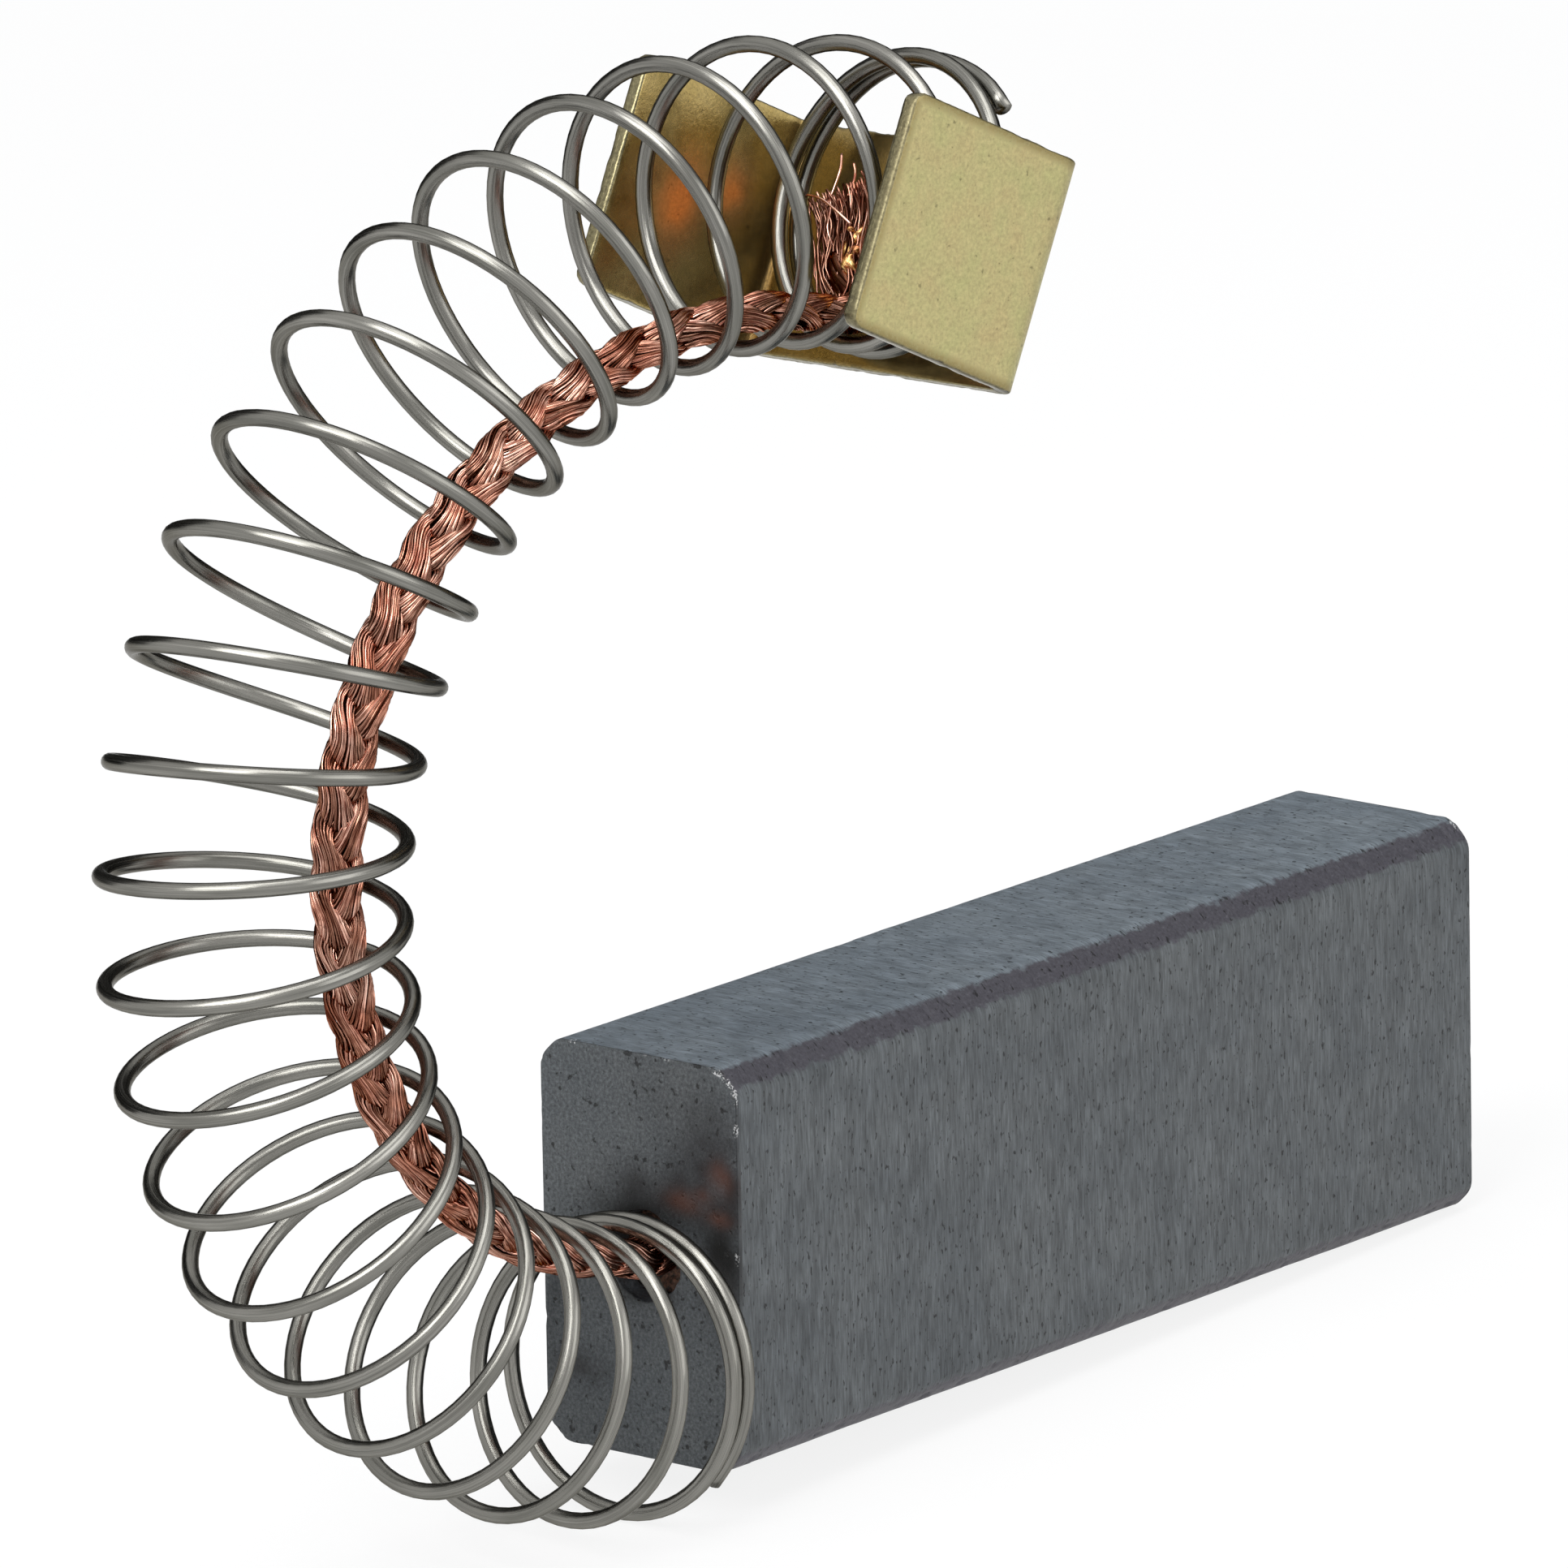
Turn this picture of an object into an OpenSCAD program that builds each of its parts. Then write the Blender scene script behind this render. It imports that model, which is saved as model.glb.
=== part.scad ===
// Carbon brush with a curled compression spring, a plaited copper shunt and a brass terminal clip.
// The origin is the middle of the block's base. The spring leaves the block towards -X and curls
// up and back over it, so that the clip ends above the block.

/* [Carbon block] */
// Length of the block, from the spring end to the contact face
block_l = 32.4; // [24:0.1:50]
// Width of the block across the holder
block_w = 6.7; // [5:0.1:9]
// Height of the block
block_h = 11.2; // [9:0.1:16]
// Size of the chamfer along each long edge
block_chamfer = 0.6; // [0.3:0.05:1]
// Radius that blends each chamfer into its two faces
chamfer_blend = 0.7; // [0.2:0.05:1]

/* [Shunt hole] */
// Diameter of the hole drilled in the spring end for the shunt
hole_d = 2.4; // [2:0.1:3.2]
// Depth of that hole
hole_depth = 9; // [5:0.5:14]
// How far the hole lies to the front of the block's middle
hole_side = 0.12; // [0:0.02:0.5]
// How far the tamped filling stays below the mouth of the hole
plug_recess = 0.7; // [0.3:0.1:2]

/* [Spring] */
// Diameter of the spring wire
wire_d = 0.45; // [0.35:0.01:0.6]
// Mean diameter of the coils, from wire centre to wire centre
coil_d = 7.96; // [7:0.02:8.6]
// Number of turns, the closed ones included
coil_turns = 24; // [20:0.05:28]
// Distance between open turns along the spring's axis
coil_pitch = 2.55; // [2:0.01:3]
// Turns that lie closed at the block's end
closed_turns_block = 0.84; // [0.5:0.02:2]
// Turns that lie closed at the clip's end
closed_turns_clip = 0.98; // [0.5:0.02:2]
// Turns over which the closed pitch opens out
opening_turns = 0.75; // [0.5:0.05:2]
// Tilt of the first coil on the end of the block
first_tilt = 5; // [3:0.1:9]
// Angle through which the spring's axis bends
bend_angle = 195.5; // [150:0.5:210]
// Sideways lean of the axis near the clip
lean_angle = 10.6; // [0:0.1:12]
// Angle round the first coil at which the wire is cut
cut_angle = -44; // [-60:0.5:60]
// How far the cut end at the clip springs out from its coil
end_lift = 0.2; // [0:0.02:0.4]

/* [Shunt] */
// Width of the plaited shunt, across the bend
shunt_w = 1.6; // [1.2:0.05:1.8]
// Thickness of the shunt, towards the coils
shunt_t = 1.1; // [0.8:0.05:1.3]
// Clearance between the shunt and the coils it lies against
shunt_clearance = 0.12; // [0.1:0.01:0.3]
// Angle round the coils by which the shunt lies to the front of the bend's inside
shunt_round = 5; // [0:1:30]
// Slack between the first coil and the shunt where it leaves the hole
mouth_slack = 0.36; // [0.2:0.02:0.5]
// Gap between the end of the shunt and the bottom of the hole
shunt_end_gap = 1; // [0.5:0.1:3]

/* [Terminal clip] */
// Thickness of the brass sheet
sheet_t = 0.45; // [0.3:0.05:0.6]
// Clearance between the coils and the front flap
flap_gap_front = 0.2; // [0.1:0.01:0.6]
// Clearance between the coils and the rear flap
flap_gap_back = 0.83; // [0.1:0.01:2]
// Height of the clip
clip_h = 6.4; // [5:0.05:9]
// Length of the flaps, measured from the back of the clip
clip_d = 6.9; // [4:0.1:8]
// Outer radius of the two bends
clip_bend_r = 0.8; // [0.6:0.05:1.2]
// Radius of the corners of the flaps
flap_corner_r = 0.45; // [0.2:0.05:1]
// Angle by which the clip leans forward on the last coil
clip_nod = 5.9; // [3:0.1:9]
// Angle by which the clip is turned back against the sideways lean of the last coil
clip_turn = 4.2; // [0:0.1:6]
// How far the spring's axis lies above the middle of the clip
clip_drop = 1.18; // [0:0.02:2]
// Angle by which the clip is turned round the spring's axis
clip_roll = 0.8; // [-4:0.1:4]
// Diameter of the weld that holds the shunt to the clip
weld_d = 1.3; // [0.8:0.1:2]
// Height of that weld above the sheet
weld_t = 0.25; // [0.15:0.01:0.4]

/* [Hidden] */

// Clearance between pieces that rest on each other
seat_gap = 0.02;
coil_r = coil_d / 2;
wire_r = wire_d / 2;
hole_y = -hole_side;
hole_z = block_h / 2;
end_x = -block_l / 2;

// Segments in each turn, and sides of the wire and of the shunt
turn_steps = 20;
wire_sides = 8;
shunt_sides = 8;
arc_steps = 4;

// Radius of the wire's corners, so that the flats between them lie on the round wire
wire_facet_r = wire_r / cos(180 / wire_sides);

// Pitch of the closed turns, and number of steps in the whole spring
closed_pitch = wire_d * 1.02;
spring_steps = round(coil_turns * turn_steps);

// Centre of the first coil: tilted on the end face, hanging so that the shunt lies inside it
spring_start = [
    end_x - wire_r - coil_r * sin(first_tilt) - seat_gap,
    hole_y,
    hole_z - (coil_r - wire_r - shunt_t / 2 - mouth_slack)
];

// Part of the axis over which the sideways lean comes in
lean_from = 0.31;
lean_to = 0.8;

// Turns over which the end at the clip springs out
lift_turns = 0.12;

function ease(x) = let (u = max(0, min(1, x))) u * u * (3 - 2 * u);
function unit(v) = v / norm(v);

// Pitch at turn t, from closed through open to closed again
function pitch_at(t) = closed_pitch + (coil_pitch - closed_pitch)
    * ease((t - closed_turns_block) / opening_turns)
    * ease((coil_turns - closed_turns_clip - t) / opening_turns);

// Distance along the axis at each step of the spring
spring_s = [
    for (i = 0, s = 0; i <= spring_steps; s = s + pitch_at((i + 0.5) / turn_steps) / turn_steps, i = i + 1) s
];
spring_length = spring_s[spring_steps];

// Directions along the axis, towards the front and towards the inside of the bend
function direction(h, l) = [cos(h) * cos(l), -sin(l), sin(h) * cos(l)];
function inward(along) = unit([along[2], 0, -along[0]]);
function frontward(along) = cross(inward(along), along);

// The axis bends evenly between the closed turns, which stay straight
function bend_share(s) = max(0, min(1, (s - closed_pitch) / (spring_length - 2 * closed_pitch)));
function heading(f) = 180 - first_tilt - bend_angle * f;
function lean(f) = lean_angle * ease((f - lean_from) / (lean_to - lean_from));
function along_at(s) = let (f = bend_share(s)) direction(heading(f), lean(f));

// Centres of the coils, one for each step
spring_axis = [
    for (
        i = 0, p = spring_start;
        i <= spring_steps;
        p = p + (spring_s[min(i + 1, spring_steps)] - spring_s[i])
            * along_at((spring_s[i] + spring_s[min(i + 1, spring_steps)]) / 2),
        i = i + 1
    ) p
];

// Frame at each step: [centre, along, front, inside]
function axis_frame(i) = let (a = along_at(spring_s[i])) [spring_axis[i], a, frontward(a), inward(a)];

// Direction in which the wire stands off the axis at step i, and how far
function wire_out(i) = let (fr = axis_frame(i), w = 360 * i / turn_steps + cut_angle)
    cos(w) * fr[2] + sin(w) * fr[3];
function wire_reach(i) = coil_r + end_lift * ease(1 - (spring_steps - i) / turn_steps / lift_turns);
function wire_point(i) = spring_axis[i] + wire_reach(i) * wire_out(i);

// The clip's frame: its back plate rests on the last coil and leans forward by clip_nod.
// Its x stands off the plate towards the spring, its y points to the front and its z up the plate.
last_frame = axis_frame(spring_steps);
clip_along = direction(heading(1) - clip_nod, lean(1) - clip_turn);
clip_tilt = acos(clip_along * last_frame[1]);
clip_x = -clip_along;
clip_y = cos(clip_roll) * frontward(clip_along) + sin(clip_roll) * inward(clip_along);
clip_z = cross(clip_x, clip_y);
clip_w = coil_d + wire_d + flap_gap_front + flap_gap_back + 2 * sheet_t;
clip_seat = wire_r + coil_r * sin(clip_tilt) + seat_gap;
clip_shift = (flap_gap_back - flap_gap_front) / 2;
clip_origin = last_frame[0] - clip_seat * clip_x - clip_shift * clip_y - clip_drop * clip_z;

// A point given in the clip's frame
function clip_point(v) = clip_origin + v[0] * clip_x + v[1] * clip_y + v[2] * clip_z;

// How far the shunt lies from the axis, inside the bend
shunt_offset = coil_r - wire_r - shunt_t / 2 - shunt_clearance;

// The shunt follows the spring between these turns, with a point at every step
shunt_first = 1.5;
shunt_last = floor(coil_turns - 2.5);
shunt_step = 0.5;
shunt_bend = [
    for (t = [shunt_first : shunt_step : shunt_last])
        let (fr = axis_frame(t * turn_steps), a = shunt_round * ease((t - shunt_first) / 3))
            fr[0] + shunt_offset * (cos(a) * fr[3] + sin(a) * fr[2])
];

// Its folded end in the clip's frame, measured up from where it meets the plate
fold_z = clip_drop - shunt_offset * cos(shunt_round);
fold_x = weld_t + shunt_t / 2 + seat_gap;
shunt_tail = [
    [fold_x + 0.9, 0.25, fold_z - 0.2],
    [fold_x + 0.25, -0.15, fold_z],
    [fold_x, -0.7, fold_z + 0.4],
    [fold_x, -1.15, fold_z + 1.1],
    [fold_x, -1.35, fold_z + 1.8],
    [fold_x + 0.1, -1.5, fold_z + 2.6],
    [fold_x + 0.3, -1.8, fold_z + 3.4]
];
tail_flare = 1.4;
weld_y = -1.35;
weld_z = fold_z + 1.7;

// The whole route: out of the hole, along the inside of the bend and up the plate
shunt_route = concat(
    [
        [end_x + hole_depth - shunt_end_gap, hole_y, hole_z],
        [end_x + plug_recess, hole_y, hole_z],
        [end_x - wire_d, hole_y, hole_z]
    ],
    shunt_bend,
    [for (v = shunt_tail) clip_point(v)]
);

// Direction of a list of points at index i
function route_along(pts, i) = unit(pts[min(i + 1, len(pts) - 1)] - pts[max(i - 1, 0)]);

// One cross-section: an ellipse of half-widths ru and rv along the directions u and v
function section(p, u, v, ru, rv, sides) = [
    for (k = [0 : sides - 1])
        let (w = 360 * (k + 0.5) / sides) p + ru * cos(w) * u + rv * sin(w) * v
];

// A closed tube through a list of sections that all have the same number of points
module tube(sections) {
    n = len(sections[0]);
    last = len(sections) - 1;
    sides = [
        for (i = [0 : last - 1]) for (k = [0 : n - 1])
            [i * n + k, (i + 1) * n + k, (i + 1) * n + (k + 1) % n, i * n + (k + 1) % n]
    ];
    triangles = [for (q = sides) each [[q[0], q[1], q[2]], [q[0], q[2], q[3]]]];
    caps = [[for (k = [0 : n - 1]) k], [for (k = [n - 1 : -1 : 0]) last * n + k]];
    polyhedron([for (s = sections) each s], concat(triangles, caps));
}

// Points along an arc of radius r round the centre c, from the angle a0 on
function arc(c, r, a0, turn) = [
    for (k = [0 : arc_steps])
        let (w = a0 + turn * k / arc_steps) c + r * [cos(w), sin(w)]
];

// One corner of the block's section, from its flank to its top: a chamfer with both ends blended
chamfer_reach = block_chamfer + chamfer_blend * tan(22.5);
function corner(sy, sz) = let (
    flank = [block_w / 2 - chamfer_blend, block_h / 2 - chamfer_reach],
    top = [block_w / 2 - chamfer_reach, block_h / 2 - chamfer_blend],
    pts = concat(arc(flank, chamfer_blend, 0, 45), arc(top, chamfer_blend, 45, 45)),
    ordered = sy * sz > 0 ? pts : [for (k = [len(pts) - 1 : -1 : 0]) pts[k]]
) [for (p = ordered) [sy * p[0], sz * p[1]]];

module carbon_block() {
    color([0.37, 0.39, 0.41])
        difference() {
            translate([end_x, 0, block_h / 2])
                rotate([90, 0, 90])
                    linear_extrude(block_l)
                        polygon(concat(corner(1, 1), corner(-1, 1), corner(-1, -1), corner(1, -1)));
            translate([end_x - 1, hole_y, hole_z])
                rotate([0, 90, 0])
                    cylinder(d = hole_d, h = hole_depth + 1, $fn = 48);
        }
}

// Copper powder tamped round the shunt, up to a little below the mouth of the hole
module tamping_plug() {
    color([0.45, 0.3, 0.24])
        difference() {
            translate([end_x + plug_recess, hole_y, hole_z])
                rotate([0, 90, 0])
                    cylinder(d = hole_d, h = hole_depth - plug_recess, $fn = 48);
            translate([end_x + plug_recess - 1, hole_y, hole_z])
                rotate([90, 0, 90])
                    linear_extrude(hole_depth - plug_recess - shunt_end_gap + 1 + seat_gap)
                        polygon(section(
                            [0, 0], [1, 0], [0, 1],
                            shunt_w / 2 + seat_gap, shunt_t / 2 + seat_gap, shunt_sides
                        ));
        }
}

module spring() {
    color([0.62, 0.61, 0.58])
        tube([
            for (i = [0 : spring_steps])
                let (
                    tangent = unit(wire_point(min(i + 1, spring_steps)) - wire_point(max(i - 1, 0))),
                    up = unit(cross(tangent, wire_out(i))),
                    out = cross(up, tangent)
                )
                section(wire_point(i), out, up, wire_facet_r, wire_facet_r, wire_sides)
        ]);
}

// The plaited lead, flattened on its way through the coils and splayed at its cut end
module shunt() {
    count = len(shunt_route);
    tail_from = count - len(shunt_tail);
    color([0.75, 0.47, 0.37])
        tube([
            for (i = [0 : count - 1])
                let (
                    a = route_along(shunt_route, i),
                    in_tail = ease((i - tail_from - 1) / (len(shunt_tail) - 2)),
                    across = unit((1 - in_tail) * [0, -1, 0] + in_tail * clip_y),
                    side = unit(across - (across * a) * a),
                    grow = 1 + (tail_flare - 1) * in_tail
                )
                section(shunt_route[i], side, cross(a, side), shunt_w / 2 * grow, shunt_t / 2, shunt_sides)
        ]);
}

// Places what is drawn in the clip's frame
module on_clip() {
    multmatrix([for (r = [0 : 2]) [clip_x[r], clip_y[r], clip_z[r], clip_origin[r]]])
        children();
}

module weld_nugget() {
    color([0.8, 0.6, 0.3])
        on_clip()
            translate([0, weld_y, weld_z])
                rotate([0, 90, 0])
                    cylinder(d = weld_d, h = weld_t, $fn = 32);
}

// Section of the folded sheet: two flaps joined by the back plate, whose inner face is x = 0
module clip_section() {
    reach = clip_d - sheet_t;
    bend_x = clip_bend_r - sheet_t;
    bend_y = clip_w / 2 - clip_bend_r;
    inner_r = clip_bend_r - sheet_t;
    polygon(concat(
        [[reach, clip_w / 2]],
        arc([bend_x, bend_y], clip_bend_r, 90, 90),
        arc([bend_x, -bend_y], clip_bend_r, 180, 90),
        [[reach, -clip_w / 2], [reach, -clip_w / 2 + sheet_t]],
        arc([bend_x, -bend_y], inner_r, 270, -90),
        arc([bend_x, bend_y], inner_r, 180, -90),
        [[reach, clip_w / 2 - sheet_t]]
    ));
}

// Outline of a flap seen from the side, with rounded corners at its free end
module flap_outline() {
    reach = clip_d - sheet_t;
    corner_x = reach - flap_corner_r;
    corner_z = clip_h / 2 - flap_corner_r;
    polygon(concat(
        [[-sheet_t - 1, clip_h / 2], [-sheet_t - 1, -clip_h / 2]],
        arc([corner_x, -corner_z], flap_corner_r, 270, 90),
        arc([corner_x, corner_z], flap_corner_r, 0, 90)
    ));
}

module terminal_clip() {
    color([0.72, 0.68, 0.46])
        on_clip()
            intersection() {
                translate([0, 0, -clip_h / 2])
                    linear_extrude(clip_h)
                        clip_section();
                translate([0, clip_w / 2 + 1, 0])
                    rotate([90, 0, 0])
                        linear_extrude(clip_w + 2)
                            flap_outline();
            }
}

carbon_block();
tamping_plug();
spring();
shunt();
weld_nugget();
terminal_clip();
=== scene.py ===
"""The looks of a carbon brush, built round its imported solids.

Lengths are millimetres until a mesh is made. The spring, the shunt and the clip follow the same rules
as the solids, only finer, so each visible piece lies where its solid is.
"""

import math

import bpy
import numpy as np
from mathutils import Matrix, Vector


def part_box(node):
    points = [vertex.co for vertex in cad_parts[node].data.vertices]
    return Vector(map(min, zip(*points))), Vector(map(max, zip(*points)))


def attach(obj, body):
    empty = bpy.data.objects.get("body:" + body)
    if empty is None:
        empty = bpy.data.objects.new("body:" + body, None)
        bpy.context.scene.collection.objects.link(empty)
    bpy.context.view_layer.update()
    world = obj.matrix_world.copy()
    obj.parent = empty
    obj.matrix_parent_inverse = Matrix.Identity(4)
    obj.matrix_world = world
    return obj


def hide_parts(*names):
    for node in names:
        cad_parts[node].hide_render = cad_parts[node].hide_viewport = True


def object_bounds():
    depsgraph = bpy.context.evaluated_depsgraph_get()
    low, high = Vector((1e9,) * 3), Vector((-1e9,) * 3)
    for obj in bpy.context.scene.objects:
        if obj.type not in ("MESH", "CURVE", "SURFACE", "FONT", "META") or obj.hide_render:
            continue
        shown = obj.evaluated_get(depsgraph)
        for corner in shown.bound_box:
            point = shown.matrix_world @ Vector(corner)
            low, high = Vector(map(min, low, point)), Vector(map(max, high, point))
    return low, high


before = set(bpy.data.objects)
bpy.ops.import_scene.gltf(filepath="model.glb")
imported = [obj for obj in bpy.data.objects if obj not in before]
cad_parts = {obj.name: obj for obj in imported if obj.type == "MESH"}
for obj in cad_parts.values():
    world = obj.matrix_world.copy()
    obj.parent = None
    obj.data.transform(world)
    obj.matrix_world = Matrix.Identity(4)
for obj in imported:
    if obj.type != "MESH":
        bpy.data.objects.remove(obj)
cad_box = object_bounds()

MM = 0.001
BODY = "root"

# The block, from its solid, and its edges
block_low, block_high = (np.array(corner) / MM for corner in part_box("carbon_block"))
END_X = block_low[0]
CONTACT_X = block_high[0]
BLOCK_W = block_high[1] - block_low[1]
BLOCK_H = block_high[2] - block_low[2]
BLOCK_LENGTH = CONTACT_X - END_X
BLOCK_CHAMFER = 0.6
CHAMFER_BLEND = 0.7
HOLE_D = 2.4
HOLE_DEPTH = 9
HOLE_Y = -0.12
HOLE_Z = BLOCK_H / 2
BLOCK_MIDDLE = np.array([0, BLOCK_H / 2])
HOLE_MIDDLE = np.array([HOLE_Y, HOLE_Z])
PLUG_RECESS = 0.7
SEAT_GAP = 0.02

# The spring
WIRE_D = 0.45
WIRE_R = WIRE_D / 2
COIL_R = 7.96 / 2
COIL_TURNS = 24
COIL_PITCH = 2.55
CLOSED_TURNS_BLOCK = 0.84
CLOSED_TURNS_CLIP = 0.98
OPENING_TURNS = 0.75
FIRST_TILT = 5
BEND_ANGLE = 195.5
LEAN_ANGLE = 10.6
LEAN_FROM = 0.31
LEAN_TO = 0.8
CUT_ANGLE = -44
END_LIFT = 0.2
LIFT_TURNS = 0.12
CLOSED_PITCH = WIRE_D * 1.02
SOLID_TURN_STEPS = 20
TURN_STEPS = 3 * SOLID_TURN_STEPS
WIRE_SIDES = 16

# The shunt
SHUNT_W = 1.6
SHUNT_T = 1.1
SHUNT_CLEARANCE = 0.12
SHUNT_ROUND = 5
MOUTH_SLACK = 0.36
SHUNT_END_GAP = 1
SHUNT_FIRST = 1.5
SHUNT_STEP = 0.5

# The clip
SHEET_T = 0.45
FLAP_GAP_FRONT = 0.2
FLAP_GAP_BACK = 0.83
CLIP_H = 6.4
CLIP_D = 6.9
CLIP_BEND_R = 0.8
FLAP_CORNER_R = 0.45
CLIP_NOD = 5.9
CLIP_TURN = 4.2
CLIP_DROP = 1.18
CLIP_ROLL = 0.8
WELD_T = 0.25

# The camera, found from the block's edges in the photograph, whose sides are PHOTO_PIXELS long
PHOTO_PIXELS = 1932
FOCAL_PIXELS = 23963
CAMERA_AZIMUTH = -51.073
CAMERA_ELEVATION = 14.297
CAMERA_ROLL = -1.004
# The middle of the spring end's lower edge, right of, below and ahead of the camera
SPRING_END_IN_VIEW = (-3.7075, 17.959, 518.367)
SENSOR = 36

# How far apart the lines lie along which noise is read for wires and bundles
LINE_SPACING = 3.7


def ease(x):
    """A smooth step from 0 to 1."""
    u = np.clip(x, 0, 1)
    return u * u * (3 - 2 * u)


def unit(v):
    return v / np.linalg.norm(v, axis=-1, keepdims=True)


def column(values):
    return np.asarray(values, float)[..., None]


def stacked(*parts):
    """Points or vectors, from their parts."""
    return np.stack(parts, axis=-1)


def noise(points, cell, seed):
    """Smooth random values from -1 to 1 at points, alike within a cell of this size."""
    p = np.asarray(points, float) / cell + seed * 17.31
    base = np.floor(p).astype(np.int64)
    f = p - base
    f = f * f * (3 - 2 * f)
    total = np.zeros(p.shape[:-1])
    for corner in np.ndindex(2, 2, 2):
        at = base + np.array(corner)
        h = at[..., 0] * 73856093 ^ at[..., 1] * 19349663 ^ at[..., 2] * 83492791 ^ seed * 40503
        h = ((h & 0xFFFFFFFF) ^ ((h & 0xFFFFFFFF) >> 13)) * 1274126177 & 0xFFFFFFFF
        value = ((h ^ (h >> 16)) & 0xFFFFFF) / 0xFFFFFF * 2 - 1
        share = np.where(np.array(corner), f, 1 - f).prod(axis=-1)
        total += value * share
    return total


def rough(points, cell, seed, octaves=3):
    """Noise with finer noise added to it."""
    return sum(noise(points, cell / 2**k, seed + k) / 2**k for k in range(octaves))


def along_line(s, line):
    """Points on one of many separate lines, for noise that varies only with s."""
    s = np.asarray(s, float)
    return stacked(s, np.full(s.shape, line * LINE_SPACING), np.zeros(s.shape))


# The coil's axis, as in the solids


def pitch_at(t):
    """Distance between turns at turn t, which is smaller in the closed turns at both ends."""
    from_block = ease((t - CLOSED_TURNS_BLOCK) / OPENING_TURNS)
    from_clip = ease((COIL_TURNS - CLOSED_TURNS_CLIP - t) / OPENING_TURNS)
    return CLOSED_PITCH + (COIL_PITCH - CLOSED_PITCH) * (from_block * from_clip)


def direction(heading, lean):
    """A unit vector that rises by heading in the plane of the bend and leans to the front."""
    h, l = np.radians(heading), np.radians(lean)
    return stacked(np.cos(h) * np.cos(l), -np.sin(l), np.sin(h) * np.cos(l))


def inward(along):
    """The way from the axis to the inside of the bend."""
    return unit(stacked(along[..., 2], np.zeros(along.shape[:-1]), -along[..., 0]))


def frontward(along):
    """The way from the axis to the front of the part."""
    return np.cross(inward(along), along)


def along_at(s, length):
    """The axis' direction at s of its length."""
    f = np.clip((s - CLOSED_PITCH) / (length - 2 * CLOSED_PITCH), 0, 1)
    lean = LEAN_ANGLE * ease((f - LEAN_FROM) / (LEAN_TO - LEAN_FROM))
    return direction(180 - FIRST_TILT - BEND_ANGLE * f, lean)


def coil_axis():
    """The turn, centre and direction of the axis at each step of the spring."""
    turns = np.arange(COIL_TURNS * TURN_STEPS + 1) / TURN_STEPS
    s = np.concatenate([[0], np.cumsum(pitch_at((turns[1:] + turns[:-1]) / 2) / TURN_STEPS)])
    start = np.array([
        END_X - WIRE_R - COIL_R * math.sin(math.radians(FIRST_TILT)) - SEAT_GAP,
        HOLE_Y,
        HOLE_Z - (COIL_R - WIRE_R - SHUNT_T / 2 - MOUTH_SLACK),
    ])
    moves = along_at((s[1:] + s[:-1]) / 2, s[-1]) * column(np.diff(s))
    centres = start + np.concatenate([[[0, 0, 0]], np.cumsum(moves, axis=0)])
    return turns, centres, along_at(s, s[-1])


turns, coil_centres, coil_along = coil_axis()


# The clip's frame, as in the solids: x off the plate towards the spring, y to the front, z up

last_heading = 180 - FIRST_TILT - BEND_ANGLE
clip_along = direction(last_heading - CLIP_NOD, LEAN_ANGLE - CLIP_TURN)
clip_tilt = math.acos(clip_along @ coil_along[-1])
clip_x = -clip_along
roll = math.radians(CLIP_ROLL)
clip_y = math.cos(roll) * frontward(clip_along) + math.sin(roll) * inward(clip_along)
clip_z = np.cross(clip_x, clip_y)
CLIP_W = 2 * COIL_R + WIRE_D + FLAP_GAP_FRONT + FLAP_GAP_BACK + 2 * SHEET_T
clip_seat = WIRE_R + COIL_R * math.sin(clip_tilt) + SEAT_GAP
clip_shift = (FLAP_GAP_BACK - FLAP_GAP_FRONT) / 2
clip_origin = coil_centres[-1] - clip_seat * clip_x - clip_shift * clip_y - CLIP_DROP * clip_z


def on_clip(points):
    """Points of the clip's frame, in the part's frame."""
    p = np.asarray(points, float)
    return clip_origin + p[..., :1] * clip_x + p[..., 1:2] * clip_y + p[..., 2:] * clip_z


# Meshes


def mesh_object(name, points, faces, material):
    mesh = bpy.data.meshes.new(name)
    mesh.from_pydata((np.asarray(points).reshape(-1, 3) * MM).tolist(), [], faces)
    mesh.materials.append(material)
    obj = bpy.data.objects.new(name, mesh)
    bpy.context.scene.collection.objects.link(obj)
    return obj


def piece(name, points, node, slot, material, faces=None, **vectors):
    """A smooth mesh that rides on the part and stands for a node, with named vectors at its points.

    Where no faces are given, the points are rings, and the faces lie between them.
    """
    obj = mesh_object(name, points, faces or loft_faces(*points.shape[:2]), material)
    obj.data.shade_smooth()
    for key, values in vectors.items():
        layer = obj.data.attributes.new(key, "FLOAT_VECTOR", "POINT")
        layer.data.foreach_set("vector", np.asarray(values, np.float32).ravel())
    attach(obj, BODY)
    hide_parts(node)
    return obj


def loft_faces(count, ring, first=0):
    """Quads between count rings of ring points each, and a face at each end."""
    i, k = np.meshgrid(np.arange(count - 1), np.arange(ring), indexing="ij")
    a = first + i * ring + k
    b = first + i * ring + (k + 1) % ring
    faces = stacked(a, b, b + ring, a + ring).reshape(-1, 4).tolist()
    faces.append([first + k for k in range(ring - 1, -1, -1)])
    faces.append([first + (count - 1) * ring + k for k in range(ring)])
    return faces


def lengths(path):
    """How far along a path each of its points lies."""
    return np.concatenate([[0], np.cumsum(np.linalg.norm(np.diff(path, axis=0), axis=1))])


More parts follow.
